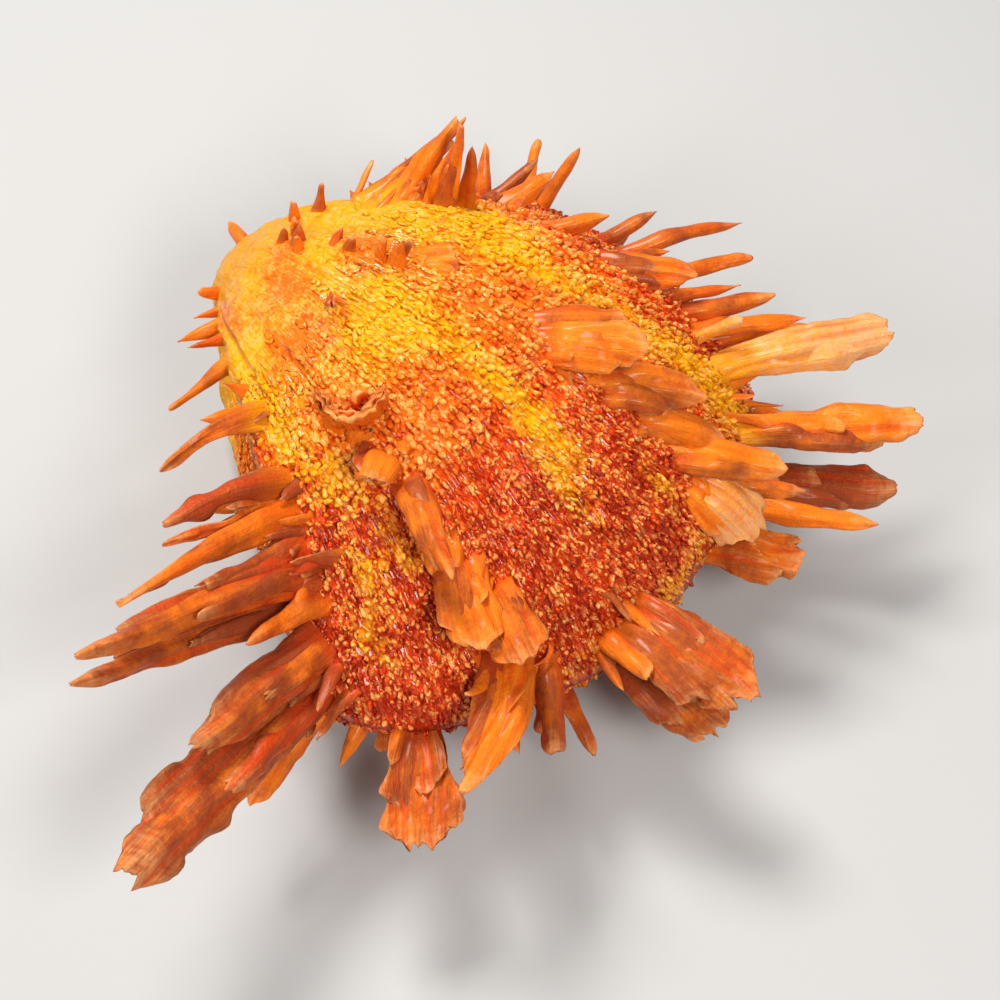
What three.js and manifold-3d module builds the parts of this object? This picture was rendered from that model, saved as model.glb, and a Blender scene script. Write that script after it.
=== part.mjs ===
// Thorny oyster shell: two hollow valves, shut, with a dark ligament in the hinge.
// Millimetres, +Z up. The valves meet on a level plane, the hinge is at the +Y end and the
// wide rounded margin faces -Y. The shell rests on the flat scar under its lower valve.
// A bearing is a plan direction in degrees, 0 toward -Y and 90 toward +X.
// A growth says how far a point lies from a valve's beak (0) to its margin (1).

import * as THREE from 'three';
import { mergeVertices } from 'three/addons/utils/BufferGeometryUtils.js';
import Module from 'manifold-3d';

const wasm = await Module();
wasm.setup();

// Margin outline: distance from its middle, every 15 degrees from bearing -180.
const MIDDLE_X = 2;
const MIDDLE_Y = 12;
const MARGIN_STEP = 15;
const MARGIN_DISTANCES = [
  48, 45, 41, 38.5, 40, 47, 57, 67, 66, 62, 60, 58.5,
  57.5, 57.5, 60.5, 62, 60, 58, 59, 61.5, 60, 56, 53, 50,
];

// Hinge: each valve grew by turning about this line while its outline grew from the beak.
const HINGE_X = 6;
const HINGE_Y = 60;
const HINGE_EDGE_Y = 59;

// Each valve: how far it turned, how fast the turn slows, where its beak ends up, how far
// the umbo swells past that in plan, and the share of its height that the hollow takes.
const UPPER = {
  up: 1, turn: 1.1, slowing: 0.77, beakX: 2.5, beakY: 3.2, beakZ: 6.3,
  umboX: -3.5, umboY: 5, hollowHeight: 0.88,
};
const LOWER = {
  up: -1, turn: 0.85, slowing: 0.77, beakX: -2, beakY: 13, beakZ: 8,
  umboX: 0, umboY: 0, hollowHeight: 0.74,
};
const BEAK_GROWTH = 0.06;
const SCAR_DEPTH = 31;

// Walls and gaps. A hollow is the outside shrunk toward the middle of the margin.
const HOLLOW_SPAN = 0.92;
const HOLLOW_GROWTH = 0.3;
const VALVE_GAP = 0.3;

// Ligament: an oval plug in a pit that both valves share at the middle of the hinge.
const LIGAMENT_X = 10;
const LIGAMENT_Y = 57.4;
const LIGAMENT_WIDTH = 9;
const LIGAMENT_HEIGHT = 5;
const LIGAMENT_LENGTH = 3.4;
const PIT_LENGTH = 7;

// Mesh fineness.
const RAYS = 40;
const OUTSIDE_RINGS = 10;
const HOLLOW_RINGS = 5;
const SPINE_STATIONS = [0, 0.3, 0.62, 0.86, 1];
const OVAL_STEPS = 10;
const SURFACE_STEP = 0.01;
const MERGE_DISTANCE = 1e-4;

// Spine sections: how deep a root is sunk, how thick a spine is at its root and its tip,
// and where along it the taper starts. Their broad faces lie open to the front left, at
// this heading and rise.
const SPINE_ROOT_SINK = 1.6;
const SPINE_ROOT_THICKNESS = 2.6;
const SPINE_TIP_THICKNESS = 1.7;
const SPINE_TAPER_START = 0.62;
const OPEN_HEADING = -57;
const OPEN_RISE = 59;

// How far the solids that are cut away or cut to reach past the shell.
const OUTSIDE_LID = 1;
const HOLLOW_LID = 2;
const PAST_THE_SHELL = 200;

// Spines. Each row is bearing and growth of the root, heading and rise of the chord in
// degrees, then length, root width, widest width, upward arch of the middle, and the share
// of the widest width that is left at the tip. Some rows add the roll of the face about the
// chord in degrees, and where along the spine its own taper starts.
const UMBO_PRICKLES = [
  [-60, 0.18, -130, 28, 5, 4.5, 2, 0, 0.5],
  [-71, 0.22, -125, 6, 5, 3.5, 1.6, 0, 0.2],
  [-76, 0.27, -120, 3, 9, 4.5, 2.2, 0, 0.2],
  [-77, 0.32, -115, 20, 8, 4, 2, 0, 0.2],
  [-79, 0.38, -110, -10, 15, 5, 2.5, 0, 0.2],
  [-74, 0.47, -130, 50, 5, 4, 2, 0, 0.3],
  [1, 0.18, 150, -15, 8, 5, 2.8, 0, 0.5],
  [21, 0.27, 110, 80, 6, 4, 1.6, 0, 0.3],
  [31, 0.30, 96, 67, 7, 5, 2.6, 0, 0.5],
  [-4, 0.32, 100, 75, 5, 5.5, 2.6, 0, 0.6],
  [2, 0.37, 80, 45, 4, 4.5, 1.8, 0, 0.3],
  [3, 0.40, 70, 70, 4, 4.5, 1.8, 0, 0.3],
  [6, 0.48, 40, 80, 6, 6, 2, 0, 0.15],
  [12, 0.50, 30, 20, 7, 8, 7, 0, 0.7],
  [-24, 0.42, -20, 40, 3, 7, 4, 0, 0.4],
];
const LEFT_SPINES = [
  [-71, 0.52, -110, 11, 24, 6, 3.4, 4, 0.6],
  [-72, 0.51, -115, 30, 13, 5, 2.2, 0, 0.2],
  [-71, 0.64, -110, 23, 29, 9, 4.8, 3, 0.5],
  [-73, 0.68, -110, 25, 29, 7, 3, 0, 0.3],
  [-76, 0.70, -112, 30, 27, 6, 2.6, 0, 0.2],
  [-72, 0.69, -104, 21, 43, 10, 5.4, 2, 0.12, 0, 0.3],
  [-73, 0.74, -102, 28, 27, 9, 3.6, 0, 0.5],
  [-74, 0.78, -104, 29, 57, 10, 6.5, 0, 0.3, 0, 0.4],
  [-81, 0.86, -106, 31, 57, 9, 6.2, 0, 0.3, 0, 0.45],
  [-72, 0.82, -100, 20, 20, 8, 3.4, 0, 0.2],
  [-73, 0.77, -98, 24, 16, 7, 3.4, 0, 0.3],
  [-75, 0.89, -96, 17, 37, 11, 8.5, 0, 0.45],
  [-77, 0.92, -96, 13, 32, 7, 5, 0, 0.3],
  [-79, 0.96, -91, 17, 61, 10, 11.5, 0, 0.95, 0, 0.75],
];
const MIDDLE_RIB_LEAVES = [
  [-48, 0.58, -57, 52, 12, 15, 17, 3, 0.9],
  [-45, 0.66, -70, 30, 10, 7, 8, 1, 0.7],
  [-45, 0.70, -37, 12, 26, 6, 7, 3, 0.2, 0, 0.3],
  [-44, 0.78, -50, -10, 10, 7, 7.5, 1, 0.7],
  [-44, 0.82, -45, 4, 19, 10, 11, 1, 0.75],
  [-42, 0.87, -36, 16, 19, 10, 12, 2, 0.8],
  [-43, 0.94, -72, 5, 32, 10, 11, 3, 0.3, 0, 0.35],
  [-37, 0.97, -53, 5, 19, 5.5, 5.5, 0, 0.98],
];
const FRONT_LEAVES = [
  [-27, 0.98, -30, 0, 10, 3, 2.4, 0, 0.3],
  [-25, 0.97, -20, 8, 14, 5, 5, 0, 0.6],
  [-19, 0.97, -8, 1, 30, 9, 15, 2, 0.85],
];
const RIGHT_RIB_LEAVES = [
  [9, 0.66, 35, -1, 20, 8, 9, 1, 0.8],
  [8, 0.69, 25, 10, 20, 8, 9.5, 1, 0.8],
  [9, 0.72, 5, -6, 9, 6, 6, 0, 0.4],
  [8, 0.77, 35, -12, 21, 8, 9, 2, 0.7],
  [9, 0.83, 30, -22, 20, 7, 8, 2, 0.8],
  [10, 0.89, 30, -8, 22, 7, 7.5, 1, 0.85],
  [10, 0.92, 5, -30, 19, 6, 13, 2, 0.95, 0, 0.8],
  [15, 0.96, 25, 2, 19, 4, 4, 0, 0.4],
];
const RIGHT_SPINES = [
  [30, 0.97, 35, 0, 38, 6, 8, 1, 0.95],
  [39, 0.98, 30, 0, 8, 2.2, 1.6, 0, 0.3],
  [38, 0.92, 45, 4, 36, 6, 9.5, 2, 0.95, 0, 0.85],
  [44, 0.91, 48, -5, 21, 4, 3.4, 0, 0.3],
  [42, 0.87, 42, -1, 24, 4, 3.8, 0, 0.3],
  [44, 0.85, 48, -4, 20, 4, 4, 0, 0.4],
  [47, 0.83, 48, -4, 17, 3.5, 3, 0, 0.3],
  [55, 0.83, 52, -4, 24, 4, 3.4, 1, 0.3],
  [70, 0.86, 56, -4, 28, 4, 3, 3, 0.3],
  [48, 0.74, 28, 0, 18, 7, 7, 1, 0.7],
  [75, 0.84, 56, 19, 14, 3.4, 2.6, 0, 0.2],
  [65, 0.81, 50, -10, 13, 3, 3, 0, 0.4],
];
const TOP_SPINES = [
  [57, 0.64, 50, 0, 17, 5, 4.4, 0, 0.4],
  [102, 0.92, 78, 44, 16, 3.6, 3, 0, 0.4],
  [85, 0.66, 65, 12, 16, 6, 4, 0, 0.3],
  [96, 0.70, 75, 12, 15, 3.6, 2.8, 0, 0.3],
  [36, 0.38, 80, 10, 28, 10, 9, 0, 0.08, 15, 0.15],
  [44, 0.42, 80, 34, 21, 9, 8, 0, 0.08, 0, 0.15],
  [52, 0.49, 80, 66, 21, 9, 8, 0, 0.08, -15, 0.15],
  [41, 0.42, 80, 26, 14, 5, 3, 0, 0.2],
  [60, 0.55, 85, 80, 16, 4, 3, 0, 0.3],
];
const LOWER_SPINES = [
  [-80, 0.96, -90, -12, 25, 8, 8, 0, 0.4],
  [-71, 0.97, -84, -16, 10, 3.4, 2.6, 0, 0.2],
  [-61, 0.97, -56, 0, 26, 6, 16, 0, 0.95, 0, 0.85],
  [-21, 0.97, -13, 4, 28, 8, 13, 0, 0.8],
  [8, 0.97, 20, 10, 21, 6, 9.5, 0, 0.95],
  [26, 0.97, 28, 2, 34, 6, 8, 0, 0.95],
  [20, 0.97, 20, 6, 33, 5, 5, 0, 0.3],
];

// Rows of plainer spines where ribs repeat: bearings and growths of their roots.
const FAR_RIBS = [106, 122, 140];
const FAR_GROWTHS = [0.62, 0.8, 0.93];
const LOWER_RIM_RIBS = [-126, -104, -46, -34, -7, 42, 57, 72, 88, 106, 124];
const LOWER_RIM_GROWTH = 0.95;
const LOWER_SIDE_RIBS = [-78, -58, -38, -16, 8, 32, 56, 82];
const LOWER_SIDE_GROWTH = 0.84;

const FIELDS_OF_A_SPINE = 9;

const radians = THREE.MathUtils.degToRad;
const ease = (value) => THREE.MathUtils.smoothstep(value, 0, 1);
const mix = THREE.MathUtils.lerp;

// Smooth closed curve through the margin distances: a Catmull-Rom cubic in the bearing.
function marginDistance(bearing) {
  const count = MARGIN_DISTANCES.length;
  const steps = (bearing + 180) / MARGIN_STEP;
  const index = Math.floor(steps);
  const f = steps - index;
  const at = (offset) => MARGIN_DISTANCES[(index + offset + count) % count];
  const [before, start, end, after] = [at(-1), at(0), at(1), at(2)];
  const cubic = 3 * (start - end) + after - before;
  const square = 2 * before - 5 * start + 4 * end - after;
  return start + 0.5 * f * (end - before + f * (square + f * cubic));
}

// Outside of a valve. At each growth the outline is shrunk toward the hinge, turned up
// about it, and moved toward the beak, as the shell laid itself down. The umbo swells by
// the cube of what is left to the margin.
function valvePoint(valve, bearing, growth) {
  const angle = radians(bearing);
  const distance = marginDistance(bearing);
  const marginX = MIDDLE_X + distance * Math.sin(angle);
  const marginY = Math.min(MIDDLE_Y - distance * Math.cos(angle), HINGE_EDGE_Y);
  const turned = valve.turn * (-Math.log(growth)) ** valve.slowing;
  const reach = growth * (HINGE_Y - marginY);
  const left = 1 - growth;
  return new THREE.Vector3(
    HINGE_X + valve.beakX * left + valve.umboX * left ** 3 + growth * (marginX - HINGE_X),
    HINGE_Y + valve.beakY * left + valve.umboY * left ** 3 - reach * Math.cos(turned),
    valve.up * (valve.beakZ * left + reach * Math.sin(turned)),
  );
}

function hollowPoint(valve, bearing, growth) {
  const point = valvePoint(valve, bearing, growth);
  return new THREE.Vector3(
    MIDDLE_X + (point.x - MIDDLE_X) * HOLLOW_SPAN,
    MIDDLE_Y + (point.y - MIDDLE_Y) * HOLLOW_SPAN,
    point.z * valve.hollowHeight,
  );
}

// Geometry from points and triangles, with shared vertices kept.
function indexedGeometry(points, triangles) {
  const geometry = new THREE.BufferGeometry();
  geometry.setFromPoints(points);
  geometry.setIndex(triangles);
  return geometry;
}

// Closed body of a valve: a pole at the beak, rings of outline, and a flat lid across the
// margin at lidHeight.
function lidded(valve, surface, firstGrowth, rings, lidHeight) {
  const points = [new THREE.Vector3()];
  for (let ring = 0; ring <= rings; ring += 1) {
    const growth = mix(firstGrowth, 1, Math.sin((ring / rings) * (Math.PI / 2)));
    for (let ray = 0; ray < RAYS; ray += 1) {
      points.push(surface(valve, (ray * 360) / RAYS - 180, growth));
    }
  }
  for (const point of points.slice(1, 1 + RAYS)) {
    points[0].addScaledVector(point, 1 / RAYS);
  }
  for (const margin of points.slice(-RAYS)) {
    points.push(new THREE.Vector3(margin.x, margin.y, valve.up * lidHeight));
  }
  points.push(new THREE.Vector3(MIDDLE_X, MIDDLE_Y, valve.up * lidHeight));
  const triangles = [];
  const add = (a, b, c) => triangles.push(...(valve.up > 0 ? [a, b, c] : [a, c, b]));
  const lidCentre = points.length - 1;
  const lidRing = 1 + (rings + 1) * RAYS;
  for (let ray = 0; ray < RAYS; ray += 1) {
    const next = (ray + 1) % RAYS;
    add(0, 1 + ray, 1 + next);
    for (let near = 1; near < lidRing; near += RAYS) {
      const far = near + RAYS;
      add(near + ray, far + ray, far + next);
      add(near + ray, far + next, near + next);
    }
    add(lidCentre, lidRing + next, lidRing + ray);
  }
  return solidOf(indexedGeometry(points, triangles));
}

// Outward normal of a valve's outside, from small steps along it.
function surfaceNormal(valve, bearing, growth) {
  const inner = Math.min(growth, 1 - 2 * SURFACE_STEP);
  const along = valvePoint(valve, bearing, inner + SURFACE_STEP);
  along.sub(valvePoint(valve, bearing, inner - SURFACE_STEP)).normalize();
  const across = valvePoint(valve, bearing + 1, inner);
  across.sub(valvePoint(valve, bearing - 1, inner)).normalize();
  return along.cross(across).normalize().multiplyScalar(valve.up);
}

function directionOf(heading, rise) {
  const flat = Math.cos(radians(rise));
  return new THREE.Vector3(
    flat * Math.sin(radians(heading)),
    -flat * Math.cos(radians(heading)),
    Math.sin(radians(rise)),
  );
}

// One spine: a lens-shaped section carried along an arched chord, with its broad face as
// open to the front left as the chord lets it be.
function spineGeometry(valve, row) {
  const [bearing, growth, heading, rise, length, rootWidth, widest, arch, tip] = row;
  const [roll = 0, taperStart = SPINE_TAPER_START] = row.slice(FIELDS_OF_A_SPINE);
  const normal = surfaceNormal(valve, bearing, growth);
  const chord = directionOf(heading, rise);
  const face = directionOf(OPEN_HEADING, OPEN_RISE);
  face.addScaledVector(chord, -face.dot(chord)).normalize();
  face.applyAxisAngle(chord, radians(roll));
  const side = new THREE.Vector3().crossVectors(chord, face).normalize();
  const root = valvePoint(valve, bearing, growth).addScaledVector(normal, -SPINE_ROOT_SINK);
  const points = [];
  for (const s of SPINE_STATIONS) {
    const body = mix(rootWidth, widest, ease(s / taperStart));
    const tapered = Math.max(0, s - taperStart) / (1 - taperStart);
    const half = (body * (1 - (1 - tip) * tapered)) / 2;
    const depth = mix(SPINE_ROOT_THICKNESS, SPINE_TIP_THICKNESS, s) / 2;
    const centre = root.clone().addScaledVector(chord, s * (length + SPINE_ROOT_SINK));
    centre.z += 4 * arch * s * (1 - s);
    points.push(centre.clone().addScaledVector(side, half));
    points.push(centre.clone().addScaledVector(face, depth));
    points.push(centre.clone().addScaledVector(side, -half));
    points.push(centre.clone().addScaledVector(face, -depth));
  }
  const corners = 4;
  const end = points.length - corners;
  const triangles = [0, 1, 2, 0, 2, 3, end, end + 2, end + 1, end, end + 3, end + 2];
  for (let station = 0; station < SPINE_STATIONS.length - 1; station += 1) {
    for (let corner = 0; corner < corners; corner += 1) {
      const a = station * corners + corner;
      const b = station * corners + ((corner + 1) % corners);
      triangles.push(a, a + corners, b + corners, a, b + corners, b);
    }
  }
  return indexedGeometry(points, triangles);
}

// Row for a plain spine that leaves the surface the way the surface faces.
function plainRow(valve, bearing, growth, rise, length, width) {
  const normal = surfaceNormal(valve, bearing, growth);
  const heading = THREE.MathUtils.radToDeg(Math.atan2(normal.x, -normal.y));
  return [bearing, growth, heading, rise, length, width, 0.8 * width, 1, 0.3];
}

function farRows() {
  const rows = [];
  for (const [rib, bearing] of FAR_RIBS.entries()) {
    for (const [ring, growth] of FAR_GROWTHS.entries()) {
      const length = 10 + 3 * ring - 1.5 * rib;
      rows.push(plainRow(UPPER, bearing, growth, 24 - 6 * ring, length, 3.6));
    }
  }
  return rows;
}

function lowerRows() {
  const rows = [];
  for (const [rib, bearing] of LOWER_RIM_RIBS.entries()) {
    const length = 14 + 4 * Math.sin(2.4 * rib);
    rows.push(plainRow(LOWER, bearing, LOWER_RIM_GROWTH, -4, length, 4.4));
  }
  for (const [rib, bearing] of LOWER_SIDE_RIBS.entries()) {
    const length = 10 + 3 * Math.sin(1.7 * rib);
    rows.push(plainRow(LOWER, bearing, LOWER_SIDE_GROWTH, -10, length, 4));
  }
  return rows;
}

// Closed geometry to solid and back.
function solidOf(geometry) {
  const bare = geometry.clone();
  bare.deleteAttribute('normal');
  bare.deleteAttribute('uv');
  const merged = mergeVertices(bare, MERGE_DISTANCE);
  return new wasm.Manifold(new wasm.Mesh({
    numProp: 3,
    vertProperties: new Float32Array(merged.attributes.position.array),
    triVerts: new Uint32Array(merged.index.array),
  }));
}

function geometryOf(solid) {
  const mesh = solid.getMesh();
  const geometry = new THREE.BufferGeometry();
  geometry.setAttribute('position', new THREE.BufferAttribute(mesh.vertProperties, mesh.numProp));
  geometry.setIndex(new THREE.BufferAttribute(mesh.triVerts, 1));
  geometry.computeVertexNormals();
  return geometry;
}

// A wide block that fills the space between two levels.
function slab(low, high) {
  const across = 3 * PAST_THE_SHELL;
  const geometry = new THREE.BoxGeometry(across, across, high - low);
  geometry.translate(0, 0, (low + high) / 2);
  return solidOf(geometry);
}

// Oval bar along Y, used for the ligament and, a little larger, for its pit.
function ovalBar(width, height, length) {
  const outline = new THREE.Shape();
  outline.absellipse(0, 0, width / 2, height / 2, 0, Math.PI * 2);
  const geometry = new THREE.ExtrudeGeometry(outline, {
    depth: length,
    bevelEnabled: false,
    curveSegments: OVAL_STEPS,
  });
  geometry.rotateX(Math.PI / 2);
  geometry.translate(LIGAMENT_X, LIGAMENT_Y + length / 2, 0);
  return solidOf(geometry);
}

// A valve with its spines, hollowed and trimmed to the space between two levels.
function grownValve(valve, rows, low, high) {
  let solid = lidded(valve, valvePoint, BEAK_GROWTH, OUTSIDE_RINGS, -OUTSIDE_LID);
  for (const row of rows) {
    solid = solid.add(solidOf(spineGeometry(valve, row)));
  }
  return solid
    .subtract(lidded(valve, hollowPoint, HOLLOW_GROWTH, HOLLOW_RINGS, -HOLLOW_LID))
    .intersect(slab(low, high))
    .subtract(ovalBar(LIGAMENT_WIDTH, LIGAMENT_HEIGHT, PIT_LENGTH));
}

function upperValve() {
  const rows = [
    ...UMBO_PRICKLES, ...LEFT_SPINES, ...MIDDLE_RIB_LEAVES, ...FRONT_LEAVES,
    ...RIGHT_RIB_LEAVES, ...RIGHT_SPINES, ...TOP_SPINES, ...farRows(),
  ];
  return grownValve(UPPER, rows, VALVE_GAP / 2, PAST_THE_SHELL);
}

function lowerValve() {
  return grownValve(LOWER, [...LOWER_SPINES, ...lowerRows()], -SCAR_DEPTH, -VALVE_GAP / 2);
}

function ligament() {
  const width = LIGAMENT_WIDTH - 2 * VALVE_GAP;
  const height = LIGAMENT_HEIGHT - 2 * VALVE_GAP;
  return ovalBar(width, height, LIGAMENT_LENGTH);
}

// Materials.
function shellOrange() {
  return new THREE.MeshStandardMaterial({ color: 0xd9601e, roughness: 0.38, metalness: 0 });
}

function shellRed() {
  return new THREE.MeshStandardMaterial({ color: 0xb8481c, roughness: 0.42, metalness: 0 });
}

function ligamentBrown() {
  return new THREE.MeshStandardMaterial({ color: 0x2a170d, roughness: 0.6, metalness: 0 });
}

function namedMesh(name, solid, material) {
  const mesh = new THREE.Mesh(geometryOf(solid), material);
  mesh.name = name;
  return mesh;
}

const shell = new THREE.Group();
shell.add(namedMesh('upper_valve', upperValve(), shellOrange()));
shell.add(namedMesh('lower_valve', lowerValve(), shellRed()));
shell.add(namedMesh('hinge_ligament', ligament(), ligamentBrown()));

// The part's origin is under the middle of the whole shell, on the surface it rests on.
const extent = new THREE.Box3().setFromObject(shell);
const middle = extent.getCenter(new THREE.Vector3());
shell.position.set(-middle.x, -middle.y, -extent.min.z);

export default shell;
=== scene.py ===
"""Thorny oyster shell: two ribbed valves covered in beads, leaves and spines.

Shapes are worked out in millimetres in the shell's own frame, where the valves meet on the
level z = 0, the hinge is at the +y end and the wide rounded margin faces -y. A bearing is a
plan direction in degrees, 0 toward -y and 90 toward +x. A growth says how far a point lies
from a valve's beak (0) to its margin (1), so a line of one growth is a growth line.
"""

from typing import NamedTuple

import bpy
import numpy as np
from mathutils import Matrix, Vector


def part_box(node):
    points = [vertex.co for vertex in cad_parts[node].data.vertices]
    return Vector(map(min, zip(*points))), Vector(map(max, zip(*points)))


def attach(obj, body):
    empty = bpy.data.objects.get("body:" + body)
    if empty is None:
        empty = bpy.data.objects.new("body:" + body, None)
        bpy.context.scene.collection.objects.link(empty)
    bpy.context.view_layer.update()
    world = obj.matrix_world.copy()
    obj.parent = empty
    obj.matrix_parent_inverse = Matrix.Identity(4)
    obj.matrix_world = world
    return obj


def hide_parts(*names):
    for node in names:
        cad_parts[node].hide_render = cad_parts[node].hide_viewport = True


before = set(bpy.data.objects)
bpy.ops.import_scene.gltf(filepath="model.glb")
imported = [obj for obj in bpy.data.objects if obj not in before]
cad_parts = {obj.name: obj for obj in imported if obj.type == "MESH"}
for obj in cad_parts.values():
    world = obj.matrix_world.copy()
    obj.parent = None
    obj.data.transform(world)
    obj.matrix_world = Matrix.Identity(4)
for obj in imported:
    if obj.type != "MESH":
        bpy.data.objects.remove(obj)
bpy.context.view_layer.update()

bl_info = {
    "name": "Thorny Oyster Shell",
    "version": (1, 0, 0),
    "blender": (4, 5, 0),
    "location": "3D View > Sidebar > Shell",
    "description": "Builds the valves, beads, leaves and spines of a thorny oyster shell",
    "category": "Add Mesh",
}

MM = 0.001
BODY = "root"

# Margin outline: distance from its middle, every 15 degrees from bearing -180.
MIDDLE = np.array([2.0, 12.0])
MARGIN_STEP = 15
MARGIN_DISTANCES = np.array([
    48, 45, 41, 38.5, 40, 47, 57, 67, 66, 62, 60, 58.5,
    57.5, 57.5, 60.5, 62, 60, 58, 59, 61.5, 60, 56, 53, 50,
])

# Hinge line that both valves turned about as they grew, and the straight edge beside it.
HINGE = np.array([6.0, 60.0])
HINGE_EDGE_Y = 59
LIGAMENT_MIDDLE = Vector((10, 57.4, 0))
LIGAMENT_SIZE = Vector((8.4, 3.4, 4.4))
LIGAMENT_RINGS = 25
LIGAMENT_RAYS = 48


class Valve(NamedTuple):
    """How one valve grew: which way up, how far it turned, where its beak ends up, and how
    far the umbo swells past that in plan."""

    up: int
    turn: float
    beak: tuple
    umbo: tuple
    hollow_height: float


UPPER = Valve(1, 1.1, (2.5, 3.2, 6.3), (-3.5, 5.0), 0.88)
LOWER = Valve(-1, 0.85, (-2.0, 13.0, 8.0), (0.0, 0.0), 0.74)
TURN_SLOWING = 0.77
BEAK_GROWTH = 0.06
SCAR_DEPTH = 31
HOLLOW_SPAN = 0.92
HOLLOW_GROWTH = 0.3
HOLLOW_RINGS = 7
VALVE_GAP = 0.3

# Rings of a valve's outside, away from the beak: first and last growth, rays and rings. The
# lower valve has this share of them.
BODY_BANDS = [(BEAK_GROWTH, 0.22, 160, 26), (0.22, 0.46, 320, 46), (0.46, 1.0, 640, 112)]
LOWER_FINENESS = 0.75

# Rib crests: bearing, height, half width in degrees. The leaves stand on the first five.
RIB_CRESTS = [
    (-76, 1.7, 5), (-46, 1.5, 4), (9, 1.5, 4), (45, 1.5, 5), (76, 1.2, 5),
    (102, 1.1, 5), (124, 0.9, 5), (-104, 1.0, 5), (-128, 0.8, 5),
    (-61, 0.5, 3), (-30, 0.45, 3), (-18, 0.5, 3), (-6, 0.5, 3), (21, 0.5, 3), (33, 0.5, 3),
    (60, 0.5, 3), (88, 0.5, 3),
]

# Relief of the skin. Lumps have a height, a size and a seed. The steps are where growth
# paused, and the ledge is a deep one on the umbo. Only a share of the relief is left at the
# rim, which waves as sines of the bearing, each with a height, a number of waves round the
# margin and a start.
LUMPS = [(0.55, 7, 1), (0.3, 2.6, 2)]
STEP_COUNT = 17
STEP_HEIGHT = 0.45
RIBLET_COUNT = 180
RIBLET_HEIGHT = 0.28
WRINKLE_HEIGHT = 0.45
RIDGE_HEIGHT = 0.7
LEDGE_GROWTH = 0.435
LEDGE_BEARING = -26
LEDGE_HEIGHT = 1.1
RIM_RELIEF = 0.35
RIM_WAVES = [(0.7, 5, 1), (0.45, 13, 0), (0.25, 29, 0)]

# Orange flushes on the yellow umbo, and yellow streaks and patches past it: bearing,
# growth, half width in degrees, half length in growth.
ORANGE_FLUSHES = [
    (-30, 0.36, 16, 0.035), (-8, 0.31, 14, 0.03), (12, 0.42, 9, 0.04), (-62, 0.30, 9, 0.06),
    (-40, 0.45, 10, 0.04), (-5, 0.44, 8, 0.03),
]
YELLOW_PATCHES = [
    (-8, 0.60, 6, 0.16), (-10, 0.74, 3.5, 0.07), (31, 0.72, 6, 0.26), (34, 0.93, 5, 0.08),
    (45, 0.54, 16, 0.10), (-54, 0.78, 4, 0.05), (-63, 0.80, 3, 0.04), (-67, 0.89, 3.5, 0.035),
    (-22, 0.53, 14, 0.05), (-68, 0.52, 5, 0.10), (-60, 0.67, 7, 0.05),
    (3, 0.90, 2.5, 0.04), (-16, 0.82, 2.5, 0.05),
]


class Blade(NamedTuple):
    """One spine or leaf. Lengths are in millimetres and angles in degrees.

    The chord leaves the root at the given heading and rise. arch lifts its middle, bow moves
    its middle sideways and hook bends its tip. roll turns its face about the chord and twist
    adds more by the tip. curl bends the section across its width, up where it is positive,
    and fold raises a ridge at crease, which runs from -1 to 1 across it. swell is where along
    it the blade is widest, and tip is the share of that width that is left at the tip. fray
    tears the end, ruffle waves the edges, thick is a share of the usual thickness and tone
    runs from dark through bright to tan.
    """

    bearing: float
    growth: float
    heading: float
    rise: float
    length: float
    root: float
    widest: float
    arch: float = 0
    tip: float = 0.3
    curl: float = -60
    roll: float = 0
    twist: float = 0
    bow: float = 0
    hook: float = 0
    fray: float = 0.3
    ruffle: float = 0.12
    swell: float = 0.62
    thick: float = 1.0
    tone: float = 0.5
    fold: float = 0.5
    crease: float = 0.2


def prickle(bearing, growth, heading, rise, length, root):
    """A pointed scale that narrows all the way from its broad root."""
    return Blade(bearing, growth, heading, rise, length, root, 0.8 * root, tip=0.2, swell=0.1)


UMBO_PRICKLES = [
    prickle(-60, 0.18, -130, 28, 5, 4.5),
    prickle(-71, 0.22, -125, 6, 5, 3.5),
    prickle(-76, 0.27, -120, 3, 9, 4.5),
    prickle(-77, 0.32, -115, 20, 8, 4),
    prickle(-79, 0.38, -110, -10, 15, 5),
    prickle(-74, 0.47, -130, 50, 5, 4),
    prickle(1, 0.18, 150, -15, 8, 5),
    prickle(21, 0.27, 110, 80, 6, 4),
    prickle(31, 0.30, 96, 67, 7, 5),
    prickle(-4, 0.32, 100, 75, 5, 5.5),
    prickle(2, 0.37, 80, 45, 4, 4.5),
    prickle(3, 0.40, 70, 70, 4, 4.5),
    prickle(6, 0.48, 40, 80, 6, 6),
    Blade(12, 0.50, 30, 20, 7, 8, 7, tip=0.7, tone=0.75),
    prickle(-24, 0.42, -20, 40, 3, 7),
]
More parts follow.
